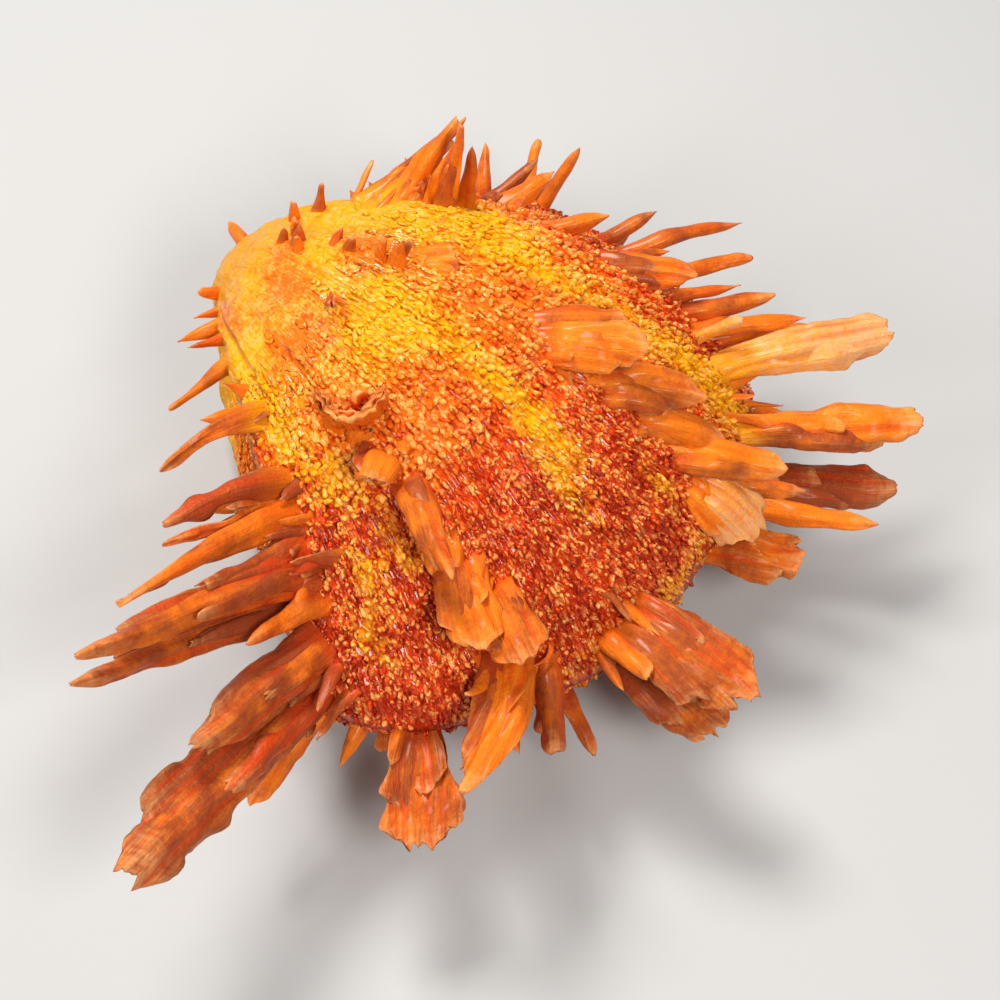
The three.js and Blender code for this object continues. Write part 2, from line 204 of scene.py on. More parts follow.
LEFT_BLADES = [
    Blade(-71, 0.52, -110, 11, 24, 6, 3.4, 4, 0.6, curl=80, tone=0.3),
    Blade(-72, 0.51, -115, 30, 13, 5, 2.2, tip=0.2),
    Blade(-71, 0.64, -110, 23, 29, 9, 4.8, 3, 0.5, curl=-150, fold=1.2, tone=0.2),
    Blade(-73, 0.68, -110, 25, 29, 7, 3, tip=0.3, curl=70, tone=0.2),
    Blade(-76, 0.70, -112, 30, 27, 6, 2.6, tip=0.2, tone=0.3),
    Blade(-72, 0.69, -104, 21, 43, 10, 5.4, 2, 0.12, twist=-40, swell=0.3, fold=1.2, tone=0.6),
    Blade(-73, 0.74, -102, 28, 27, 9, 3.6, tip=0.5, tone=0.3),
    Blade(-74, 0.78, -104, 29, 57, 10, 6.5, tip=0.3, fray=0.5, swell=0.4, fold=1.4, tone=0.3),
    Blade(-81, 0.86, -106, 31, 57, 9, 6.2, tip=0.3, fray=0.5, swell=0.45, fold=1, tone=0),
    Blade(-72, 0.82, -100, 20, 20, 8, 3.4, tip=0.2, tone=0.3),
    Blade(-73, 0.77, -98, 24, 16, 7, 3.4, tip=0.3, tone=0.2),
    Blade(-75, 0.89, -96, 17, 37, 11, 8.5, tip=0.45, fray=1.4, ruffle=0.18, fold=1.5, tone=0.4),
    Blade(-77, 0.92, -96, 13, 32, 7, 5, tip=0.3, tone=0.1),
    Blade(-79, 0.96, -91, 17, 61, 10, 11.5, tip=0.95, fray=1.1, ruffle=0.22, curl=-70, fold=2.2,
          crease=-0.3, swell=0.75, tone=0.15),
]
MIDDLE_RIB_LEAVES = [
    Blade(-48, 0.60, -57, 62, 9, 15, 17, 1, 0.95, curl=-150, fray=0.1, ruffle=0.04, thick=2.2,
          tone=0.8),
    Blade(-45, 0.66, -70, 30, 10, 7, 8, 1, 0.7, tone=0.6),
    Blade(-45, 0.70, -37, 12, 26, 6, 7, 3, 0.2, swell=0.3, tone=0.55),
    Blade(-44, 0.78, -50, -10, 10, 7, 7.5, 1, 0.7, tone=0.8),
    Blade(-44, 0.82, -45, 4, 19, 10, 11, 1, 0.75, fold=1.2, crease=0.5, tone=0.6),
    Blade(-42, 0.87, -36, 16, 19, 10, 12, 2, 0.8, tone=0.5),
    Blade(-43, 0.94, -72, 5, 32, 10, 11, 3, 0.3, twist=35, bow=-3, swell=0.35, tone=0.5),
    Blade(-37, 0.97, -53, 5, 19, 5.5, 5.5, tip=0.98, curl=-230, thick=2.6, tone=0.3),
]
FRONT_LEAVES = [
    Blade(-27, 0.98, -30, 0, 10, 3, 2.4),
    Blade(-25, 0.97, -20, 8, 14, 5, 5, tip=0.6),
    Blade(-19, 0.97, -8, 1, 30, 9, 15, 2, 0.85, fray=1.0, curl=-40),
]
RIGHT_RIB_LEAVES = [
    Blade(9, 0.66, 35, -1, 20, 8, 9, 1, 0.8, curl=-100, tone=0.5),
    Blade(8, 0.69, 25, 10, 20, 8, 9.5, 1, 0.8, tone=0.9),
    Blade(9, 0.72, 5, -6, 9, 6, 6, tip=0.4),
    Blade(8, 0.77, 35, -12, 21, 8, 9, 2, 0.7, tone=0.7),
    Blade(9, 0.83, 30, -22, 20, 7, 8, 2, 0.8, tone=0.7),
    Blade(10, 0.89, 30, -8, 22, 7, 7.5, 1, 0.85, tone=0.8),
    Blade(10, 0.92, 5, -30, 19, 6, 13, 2, 0.95, fray=0.8, swell=0.8, tone=1.1),
    Blade(15, 0.96, 25, 2, 19, 4, 4, tip=0.4),
]
RIGHT_BLADES = [
    Blade(30, 0.97, 35, 0, 38, 6, 8, 1, 0.95, fold=1.4, tone=0.7),
    Blade(39, 0.98, 30, 0, 8, 2.2, 1.6),
    Blade(38, 0.92, 45, 4, 36, 6, 9.5, 2, 0.95, fray=0.7, fold=1, swell=0.85, thick=2, tone=1.4),
    Blade(44, 0.91, 48, -5, 21, 4, 3.4),
    Blade(42, 0.87, 42, -1, 24, 4, 3.8),
    Blade(44, 0.85, 48, -4, 20, 4, 4, tip=0.4),
    Blade(47, 0.83, 48, -4, 17, 3.5, 3),
    Blade(55, 0.83, 52, -4, 24, 4, 3.4, 1),
    Blade(70, 0.86, 56, -4, 28, 4, 3, 3),
    Blade(48, 0.74, 28, 0, 18, 7, 7, 1, 0.7),
    Blade(75, 0.84, 56, 19, 14, 3.4, 2.6, tip=0.2),
    Blade(65, 0.81, 50, -10, 13, 3, 3, tip=0.4),
]
TOP_BLADES = [
    Blade(57, 0.64, 50, 0, 17, 5, 4.4, tip=0.4),
    Blade(102, 0.92, 78, 44, 16, 3.6, 3, tip=0.4),
    Blade(85, 0.66, 65, 12, 16, 6, 4),
    Blade(96, 0.70, 75, 12, 15, 3.6, 2.8),
    Blade(36, 0.38, 80, 10, 28, 10, 9, tip=0.08, swell=0.15, roll=15, tone=0.6),
    Blade(44, 0.42, 80, 34, 21, 9, 8, tip=0.08, swell=0.15, tone=0.6),
    Blade(52, 0.49, 80, 66, 21, 9, 8, tip=0.08, swell=0.15, roll=-15, tone=0.6),
    Blade(41, 0.42, 80, 26, 14, 5, 3, tip=0.2),
    Blade(60, 0.55, 85, 80, 16, 4, 3),
]
LOWER_BLADES = [
    Blade(-80, 0.96, -90, -12, 25, 8, 8, tip=0.4),
    Blade(-71, 0.97, -84, -16, 10, 3.4, 2.6, tip=0.2),
    Blade(-61, 0.97, -56, 0, 26, 6, 16, tip=0.95, fray=0.9, curl=40, swell=0.85, tone=0.3),
    Blade(-21, 0.97, -13, 4, 28, 8, 13, tip=0.8, fray=0.8),
    Blade(8, 0.97, 20, 10, 21, 6, 9.5, tip=0.95, fray=0.6, tone=0.7),
    Blade(26, 0.97, 28, 2, 34, 6, 8, tip=0.95, fold=1.2, tone=0.1),
    Blade(20, 0.97, 20, 6, 33, 5, 5),
]

# Rows of plainer spines where ribs repeat. On the far side of the upper valve they have
# these bearings and growths, get longer toward the margin and lie lower there.
FAR_RIBS = [106, 122, 140]
FAR_GROWTHS = [0.62, 0.8, 0.93]
FAR_WIDTH = 3.6

# Each row on the lower valve has a growth, a rise, a usual length, how far the lengths swing
# to either side, how fast they swing from rib to rib, a width and the ribs' bearings.
LOWER_ROWS = [
    (0.95, -4, 14, 4, 2.4, 4.4, [-126, -104, -46, -34, -7, 42, 57, 72, 88, 106, 124]),
    (0.84, -10, 10, 3, 1.7, 4, [-78, -58, -38, -16, 8, 32, 56, 82]),
]

# Blade sections. The faces of spines and leaves mostly lie open to the front left, at this
# heading and rise.
OPEN_HEADING = -57
OPEN_RISE = 59
ROOT_SINK = 2.4
ROOT_FLARE = 0.16
END_ROUNDING = 0.14
GROOVE_SPACING = 1.5
GROOVE_DEPTH = 0.3
PLEAT_SPACING = 2.4
PLEAT_SHARE = 0.025
WRINKLE_DEPTH = 0.95
FRILL_DEPTH = 1.1
BROAD_BLADE = 5.5
SHARDS = 3

# Stations along a blade and rays across each of its faces.
BROAD_GRID = (56, 15)
THIN_GRID = (44, 11)
SHARD_GRID = (22, 7)

# Riblets: shift in degrees, how many go round, and the growth that they start at. Each
# family lies midway between the riblets before it.
RIBLET_FAMILIES = [(0, 90, 0.39), (2, 90, 0.44), (1, 180, 0.72)]
BEAD_PITCH = (0.95, 1.3)
BEAD_GAPS = 0.1

# Bead sizes in millimetres before chance: the least and most width, then the length and the
# height near the umbo and near the margin. The end toward the margin lifts by a share of the
# height. Then the spread of a bead's turn in radians, and of its points as a share of its
# size.
BEAD_WIDTHS = (0.8, 1.7)
BEAD_LENGTHS = (1.9, 1.5)
BEAD_HEIGHTS = (0.08, 0.62)
BEAD_LIFTS = (0.05, 0.4)
BEAD_TURN = 0.4
BEAD_UNEVENNESS = 0.08

# Groups of beads, each one mesh: name, first and last bearing. Then the seeds of chance: for
# each valve's beads, for the upper valve's first group of blades with the step to its next
# group, and for the lower valve's blades.
UPPER_BEAD_GROUPS = [("left", -90, -42), ("front", -42, 10), ("right", 10, 80), ("back", 80, 150)]
LOWER_BEAD_GROUPS = [("left", -140, -60), ("front", -60, 30), ("right", 30, 140)]
UPPER_BEAD_SEED = 21
LOWER_BEAD_SEED = 43
UPPER_BLADE_SEED = 100
BLADE_SEED_STEP = 400
LOWER_BLADE_SEED = 5000

# Bead rings from the foot up: share of its size, lean toward the margin, level, and how
# much of a crown it is. The crown share gives a bead's top a painted highlight and leaves
# its foot in painted shade.
BEAD_SIDES = 7
BEAD_RINGS = [(1.0, 0, -0.5, 0), (0.92, 0.05, 0.3, 0.35), (0.55, 0.11, 0.82, 0.8)]

# Steps to either side, in bearing and in growth, that slopes are worked out over.
BEARING_STEP = 0.5
GROWTH_STEP = 0.004

UPWARD = np.array([0, 0, 1])
NOISE_KEYS = np.array([73856093, 19349663, 83492791])
NOISE_TABLE = np.random.default_rng(7).uniform(-1, 1, 8192)


def ease(value):
    """Smooth step: 0 below 0, 1 above 1, with level ends."""
    value = np.clip(value, 0, 1)
    return value * value * (3 - 2 * value)


def ramp(value, start, end):
    """Smooth step from 0 at start to 1 at end, which may be the smaller of the two."""
    return ease((value - start) / (end - start))


def mix(start, end, share):
    """Straight blend from start to end."""
    return start + (end - start) * share


def bell(value, middle, half):
    """Bell curve of height 1 around middle."""
    return np.exp(-(((value - middle) / half) ** 2))


def lattice_noise(points, cell, seed):
    """Smooth noise from -1 to 1: random values on a cubic lattice, eased between corners."""
    scaled = np.asarray(points, float) / cell
    corner = np.floor(scaled).astype(np.int64)
    share = ease(scaled - corner)
    total = 0
    for offset in np.ndindex(2, 2, 2):
        weight = np.prod(np.where(offset, share, 1 - share), axis=-1)
        key = (corner + offset) @ NOISE_KEYS + seed * 7919
        total = total + weight * NOISE_TABLE[key % NOISE_TABLE.size]
    return total


def plane_noise(u, v, seed):
    """Smooth noise over two parameters, one lattice cell per unit of each."""
    u, v = np.broadcast_arrays(u, v)
    return lattice_noise(np.stack([u, v, np.zeros_like(u)], -1), 1, seed)


def unit(vectors):
    """Vectors at length 1."""
    return vectors / np.linalg.norm(vectors, axis=-1, keepdims=True)


def margin_distance(bearing):
    """Distance of the margin: a Catmull-Rom cubic in the bearing through the distances."""
    steps = (np.asarray(bearing, float) + 180) / MARGIN_STEP
    index = np.floor(steps).astype(int)
    f = steps - index
    around = [MARGIN_DISTANCES[(index + k) % MARGIN_DISTANCES.size] for k in (-1, 0, 1, 2)]
    before, start, end, after = around
    cubic = 3 * (start - end) + after - before
    square = 2 * before - 5 * start + 4 * end - after
    return start + 0.5 * f * (end - before + f * (square + f * cubic))


def valve_points(valve, bearing, growth):
    """Outside of a valve.

    At each growth the margin outline is shrunk toward the hinge, turned about it by an
    angle that grows with the logarithm of the growth, and moved toward the beak. The umbo
    swells by the cube of what is left to the margin.
    """
    angle = np.radians(bearing)
    distance = margin_distance(bearing)
    margin_x = MIDDLE[0] + distance * np.sin(angle)
    margin_y = np.minimum(MIDDLE[1] - distance * np.cos(angle), HINGE_EDGE_Y)
    turned = valve.turn * (-np.log(growth)) ** TURN_SLOWING
    reach = growth * (HINGE[1] - margin_y)
    left = 1 - growth
    x = HINGE[0] + valve.beak[0] * left + growth * (margin_x - HINGE[0])
    y = HINGE[1] + valve.beak[1] * left - reach * np.cos(turned)
    x = x + valve.umbo[0] * left ** 3
    y = y + valve.umbo[1] * left ** 3
    z = valve.up * (valve.beak[2] * left + reach * np.sin(turned))
    return np.stack(np.broadcast_arrays(x, y, z), -1)


def valve_frames(valve, bearing, growth):
    """Directions on the outside: along the growth, across it, and outward."""
    inner = np.clip(growth, BEAK_GROWTH + GROWTH_STEP, 1 - 2 * GROWTH_STEP)
    along = valve_points(valve, bearing, inner + GROWTH_STEP)
    along = along - valve_points(valve, bearing, inner - GROWTH_STEP)
    across = valve_points(valve, bearing + BEARING_STEP, inner)
    across = across - valve_points(valve, bearing - BEARING_STEP, inner)
    normal = unit(np.cross(along, across)) * valve.up
    return unit(along), unit(across), normal


def rib_height(bearing, growth):
    """Height of the ribs: a bell across each crest, rising from the umbo to the margin."""
    height = 0
    for crest, tall, half in RIB_CRESTS:
        height = height + tall * bell(bearing, crest, half)
    return height * ramp(growth, 0.25, 0.6)


def relief(bearing, growth, points):
    """Height of the skin over the smooth valve: ribs, lumps, growth steps and riblets, with
    wrinkles round the umbo, ridges that run down from it and a ledge across it."""
    rough = ramp(growth, 0.3, 0.52)
    lumps = sum(height * lattice_noise(points, size, seed) for height, size, seed in LUMPS)
    steps = growth * STEP_COUNT + 0.9 * lattice_noise(points, 14, 3)
    step = (steps - np.floor(steps)) ** 2
    riblets = np.cos(np.radians(bearing) * RIBLET_COUNT)
    wrinkles = plane_noise(growth * 34, bearing / 30, 5) + 0.6 * lattice_noise(points, 1.7, 6)
    ridges = plane_noise(bearing / 4, growth * 5, 9)
    ridges = ridges + 0.4 * plane_noise(bearing / 1.6, growth * 9, 10)
    past_ledge = growth - LEDGE_GROWTH - 0.02 * np.sin(bearing / 6)
    ledge = ramp(past_ledge, 0, 0.012) * bell(bearing, LEDGE_BEARING, 16)
    return (
        rib_height(bearing, growth)
        + lumps * mix(0.6, 1, rough)
        + STEP_HEIGHT * step * ramp(growth, 0.5, 0.9)
        + RIBLET_HEIGHT * riblets * rough
        + WRINKLE_HEIGHT * wrinkles * (1 - rough)
        + RIDGE_HEIGHT * ridges * ramp(growth, 0.2, 0.32) * ramp(growth, 0.75, 0.45)
        - LEDGE_HEIGHT * ledge * ramp(growth, 0.62, 0.47)
    )


def rim_wave(bearing, growth):
    """Rise and fall of the level that both valves meet on, which fades away from the rim."""
    angle = np.radians(bearing)
    wave = sum(height * np.sin(waves * angle + start) for height, waves, start in RIM_WAVES)
    return wave * ramp(np.abs(bearing), 130, 100) * ramp(growth, 0.86, 1)


def skin_points(valve, bearing, growth):
    """The finished outside of a valve: the grown surface moved outward by its relief."""
    points = valve_points(valve, bearing, growth)
    normal = valve_frames(valve, bearing, growth)[2]
    height = relief(bearing, growth, points)
    inside_rim = ramp(growth, 1, 0.96)
    points = points + normal * (height * mix(RIM_RELIEF, 1, inside_rim))[..., None]
    level = valve.up * np.maximum(valve.up * points[..., 2], VALVE_GAP / 2)
    points[..., 2] = level + rim_wave(bearing, growth)
    if valve is LOWER:
        points[..., 2] = np.maximum(points[..., 2], -SCAR_DEPTH)
    return points


def yellow_share(bearing, growth):
    """How yellow the shell is: all over the umbo apart from its flushes, then in streaks and
    patches, and in a band along the front margin."""
    share = 0.95 * ramp(growth, 0.72, 0.27)
    for middle, at, half, long in YELLOW_PATCHES:
        share = share + 0.7 * bell(bearing, middle, 1.3 * half) * bell(growth, at, 1.3 * long)
    for middle, at, half, long in ORANGE_FLUSHES:
        share = share - 0.75 * bell(bearing, middle, half) * bell(growth, at, long)
    band = ramp(growth, 0.955, 0.985) * bell(bearing, -15, 32)
    return np.clip(share + 0.6 * band, 0, 1)


def red_share(bearing, growth):
    """How dark red the shell is: more toward the margin, at the left and front, and along
    the umbo's ledge."""
    share = 0.8 * ramp(growth, 0.45, 0.95)
    left = 0.45 * bell(bearing, -68, 16) * ramp(growth, 0.5, 0.62)
    front = 0.3 * bell(bearing, -20, 26) * ramp(growth, 0.62, 0.82)
    ledge = 0.8 * bell(bearing, LEDGE_BEARING - 1, 13) * bell(growth, LEDGE_GROWTH - 0.015, 0.02)
    return np.clip(share + left + front + ledge, 0, 1)


class Sheet(NamedTuple):
    """A mesh in the making: points, triangles, a UV per point and named values per point."""

    points: np.ndarray
    triangles: np.ndarray
    uv: np.ndarray
    values: dict


def join_sheets(sheets):
    """One sheet from many."""
    starts = np.cumsum([0] + [len(sheet.points) for sheet in sheets[:-1]])
    triangles = [sheet.triangles + start for sheet, start in zip(sheets, starts)]
    values = {
        name: np.concatenate([sheet.values[name] for sheet in sheets])
        for name in sheets[0].values
    }
    points = np.concatenate([sheet.points for sheet in sheets])
    uv = np.concatenate([sheet.uv for sheet in sheets])
    return Sheet(points, np.concatenate(triangles), uv, values)


def shell_offset():
    """Where the shell frame's origin lies in the part's frame, in metres."""
    low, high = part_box("hinge_ligament")
    return (low + high) / 2 - LIGAMENT_MIDDLE * MM


def mesh_piece(name, sheet, material, replaced=None):
    """Puts a sheet into a mesh object that rides on the shell."""
    mesh = bpy.data.meshes.new(name)
    mesh.from_pydata(sheet.points * MM + np.array(shell_offset()), [], sheet.triangles)
    mesh.polygons.foreach_set("use_smooth", np.ones(len(sheet.triangles), bool))
    layer = mesh.uv_layers.new(name="Skin")
    layer.data.foreach_set("uv", sheet.uv[sheet.triangles.ravel()].astype(np.float32).ravel())
    for key, values in sheet.values.items():
        attribute = mesh.attributes.new(key, "FLOAT", "POINT")
        attribute.data.foreach_set("value", values.astype(np.float32))
    mesh.materials.append(material)
    mesh.update()
    piece = bpy.data.objects.new(name, mesh)
    bpy.context.scene.collection.objects.link(piece)
    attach(piece, BODY)
    if replaced:
        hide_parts(replaced)
    return piece


def ring_triangles(near, far, near_rays, far_rays):
    """Triangles between two rings of points, where the far ring has as many rays or twice."""
    ray = np.arange(near_rays)
    after = (ray + 1) % near_rays
    if near_rays == far_rays:
        first = np.stack([near + ray, far + ray, far + after], -1)
        second = np.stack([near + ray, far + after, near + after], -1)
        return np.concatenate([first, second])
    left = far + 2 * ray
    middle = left + 1
    right = far + 2 * after
    fans = [(near + ray, left, middle), (near + ray, middle, near + after)]
    fans.append((near + after, middle, right))
    return np.concatenate([np.stack(fan, -1) for fan in fans])


def body_rings(fineness):
    """Growths of a valve's rings with how many rays each has, doubling away from the beak."""
    rings = []
    for start, end, rays, count in BODY_BANDS:
        count = round(count * fineness)
        growths = np.linspace(start, end, count, endpoint=end == 1)
        rings += [(growth, round(rays * fineness / 8) * 8) for growth in growths]
    return rings


def valve_body(valve, fineness):
    """Closed wall of a valve: the skin from its beak to its rim, and the hollow back again.

    The skin is the function of bearing and growth above on rings of rays. The hollow is the
    smooth valve shrunk toward the middle of the margin.
    """
    points, triangles, bearings, growths = [], [], [], []
    count = 0
    previous = None
    rings = body_rings(fineness)
    for growth, rays in rings:
        bearing = np.arange(rays) * 360 / rays - 180
        points.append(skin_points(valve, bearing, np.full(rays, growth)))
        bearings.append(bearing)
        growths.append(np.full(rays, growth))
        if previous:
            triangles.append(ring_triangles(previous[0], count, previous[1], rays))
        previous = (count, rays)
        count += rays
    rays = previous[1]
    bearing = np.arange(rays) * 360 / rays - 180
    for growth in np.linspace(1, HOLLOW_GROWTH, HOLLOW_RINGS):
        ring = valve_points(valve, bearing, np.full(rays, growth))
        ring[:, :2] = MIDDLE + (ring[:, :2] - MIDDLE) * HOLLOW_SPAN
        ring[:, 2] = valve.up * np.maximum(np.abs(ring[:, 2]) * valve.hollow_height, VALVE_GAP / 2)
        ring[:, 2] += rim_wave(bearing, growth)
        points.append(ring)
        bearings.append(bearing)
        growths.append(np.full(rays, growth))
        triangles.append(ring_triangles(count - rays, count, rays, rays))
        count += rays
    first_rays = rings[0][1]
    ray = np.arange(first_rays)
    beak = np.stack([np.full(first_rays, count), ray, (ray + 1) % first_rays], -1)
    ray = np.arange(rays)
    last = count - rays
    roof = np.stack([np.full(rays, count + 1), last + ray, last + (ray + 1) % rays], -1)
    points += [points[0].mean(0, keepdims=True), points[-1].mean(0, keepdims=True)]
    bearings.append(np.zeros(2))
    growths.append(np.array([BEAK_GROWTH, HOLLOW_GROWTH]))
    triangles = np.concatenate([beak] + triangles + [roof])
    if valve is LOWER:
        triangles = triangles[:, ::-1]
    growth = np.concatenate(growths)
    # The wall's crown value is high on the smooth umbo and nil past it: past it the wall between
    # the beads takes the painted groove shade, and on the umbo the painted crown highlight.
    smooth = 0.9 * ramp(growth, 0.52, 0.4)
    return skin_sheet(
        np.concatenate(points), triangles, np.concatenate(bearings), growth,
        np.full(count + 2, 0.5), smooth,
    )


def skin_sheet(points, triangles, bearing, growth, chance, crown):
    """A sheet with the values that colour the shell's skin."""
    values = {
        "yellow": yellow_share(bearing, growth),
        "red": red_share(bearing, growth),
        "chance": chance,
        "crown": crown,
    }
    return Sheet(points, triangles, np.stack([bearing / 10, growth * 10], -1), values)


def bead_places(valve, first_bearing, last_bearing, generator):
    """Bearings and growths of beads along riblets that double in number as they spread.

    Along each riblet the beads stand at even steps of arc length with a little chance in
    each step. Returns bearing, growth and the bearing step to the next riblet.
    """
    bearings, growths = [], []
    for shift, ribs, start in RIBLET_FAMILIES:
        spread = 360 / ribs
        for bearing in np.arange(-180, 180, spread) + shift:
            bearing = bearing + generator.normal(0, 0.15)
            if not first_bearing < bearing < last_bearing:
                continue
            fine = np.linspace(start, 0.995, 160)
            path = valve_points(valve, np.full(fine.size, bearing), fine)
            reach = np.concatenate([[0], np.cumsum(np.linalg.norm(np.diff(path, axis=0), axis=1))])
            first = np.interp(start + generator.uniform(0, 0.08), fine, reach)
            stops = np.arange(first, reach[-1], generator.uniform(*BEAD_PITCH))
            stops = stops + generator.uniform(-0.6, 0.6, stops.size)
            stops = stops[generator.uniform(0, 1, stops.size) > BEAD_GAPS]
            growth = np.interp(stops, reach, fine)
            bearings.append(np.full(growth.size, bearing))
            growths.append(growth)
    bearing = np.concatenate(bearings)
    growth = np.concatenate(growths)
    later = sum((growth > start).astype(int) for _, _, start in RIBLET_FAMILIES[1:])
    bearing = bearing + generator.normal(0, 0.28, bearing.size) / growth
    return bearing, growth, 360 / RIBLET_FAMILIES[0][1] / 2.0 ** later


def bead_sheet(valve, bearing, growth, steps, generator):
    """Beads as rounded drops, all worked out together.

    Each is a foot, a shoulder and a brow ring under a crown point, in the frame of the skin
    at its place, with chance in its size, its turn and every point.
    """
    count = bearing.size
    along, across, normal = valve_frames(valve, bearing, growth)
    place = skin_points(valve, bearing, growth)
    beside = valve_points(valve, bearing + BEARING_STEP, growth)
    beside = beside - valve_points(valve, bearing - BEARING_STEP, growth)
    spacing = np.linalg.norm(beside, axis=-1) * steps / (2 * BEARING_STEP)
    old = ramp(growth, 0.4, 0.85)
    width = np.clip(spacing, *BEAD_WIDTHS) * generator.uniform(0.55, 1.3, count)
    length = mix(*BEAD_LENGTHS, old) * generator.uniform(0.5, 1.7, count)
    tall = mix(*BEAD_HEIGHTS, ramp(growth, 0.38, 0.68)) * generator.uniform(0.25, 1.75, count)
    turn = generator.normal(0, BEAD_TURN, count)[:, None]
    along, across = (
        along * np.cos(turn) + across * np.sin(turn),
        across * np.cos(turn) - along * np.sin(turn),
    )
    side = np.arange(BEAD_SIDES) * 2 * np.pi / BEAD_SIDES
    ring = np.stack([np.cos(side), np.sin(side)], -1) / 2
    rings = [
        np.column_stack([ring * share + [lean, 0], np.full(BEAD_SIDES, level)])
        for share, lean, level, _ in BEAD_RINGS
    ]
    template = np.concatenate([*rings, [[0.16, 0, 1], [0, 0, BEAD_RINGS[0][2]]]])
    crown = np.concatenate([np.repeat([ring[3] for ring in BEAD_RINGS], BEAD_SIDES), [1, 0]])
    size = np.stack([length, width, tall], -1)[:, None, :]
    local = template[None] * size
    local = local + generator.normal(0, BEAD_UNEVENNESS, local.shape) * size
    lift = mix(*BEAD_LIFTS, old) * tall * generator.uniform(0, 1.8, count)
    local[..., 2] += lift[:, None] * (local[..., 0] / length[:, None] + 0.1)
    basis = np.stack([along, across, normal], 1)
    points = place[:, None, :] + np.einsum("bpk,bkc->bpc", local, basis)
    level = VALVE_GAP / 2 + valve.up * rim_wave(bearing, growth)[:, None]
    points[..., 2] = valve.up * np.maximum(valve.up * points[..., 2], level)
    if valve is LOWER:
        points[..., 2] = np.maximum(points[..., 2], -SCAR_DEPTH)
    ray = np.arange(BEAD_SIDES)
    after = (ray + 1) % BEAD_SIDES
    top = np.full(BEAD_SIDES, len(BEAD_RINGS) * BEAD_SIDES)
    triangles = [np.stack([after, ray, top + 1], -1)]
    for low in range(0, (len(BEAD_RINGS) - 1) * BEAD_SIDES, BEAD_SIDES):
        high = low + BEAD_SIDES
        triangles.append(np.stack([low + ray, low + after, high + after], -1))
        triangles.append(np.stack([low + ray, high + after, high + ray], -1))
    triangles.append(np.stack([high + ray, high + after, top], -1))
    triangles = np.concatenate(triangles)
    if valve is LOWER:
        triangles = triangles[:, ::-1]
    each = template.shape[0]
    triangles = (triangles[None] + np.arange(count)[:, None, None] * each).reshape(-1, 3)
    return skin_sheet(
        points.reshape(-1, 3), triangles, np.repeat(bearing, each), np.repeat(growth, each),
        np.repeat(generator.uniform(0, 1, count), each), np.tile(crown, count),
    )


def direction(heading, rise):
    """Unit vector at a heading and a rise above the level, in degrees."""
    heading, rise = np.radians(heading), np.radians(rise)
    flat = np.cos(rise)
    return np.array([flat * np.sin(heading), -flat * np.cos(heading), np.sin(rise)])


def turned(vectors, axes, angle):
    """Vectors turned about unit axes that they are square to."""
    angle = np.radians(angle)[..., None]
    return vectors * np.cos(angle) + np.cross(axes, vectors) * np.sin(angle)


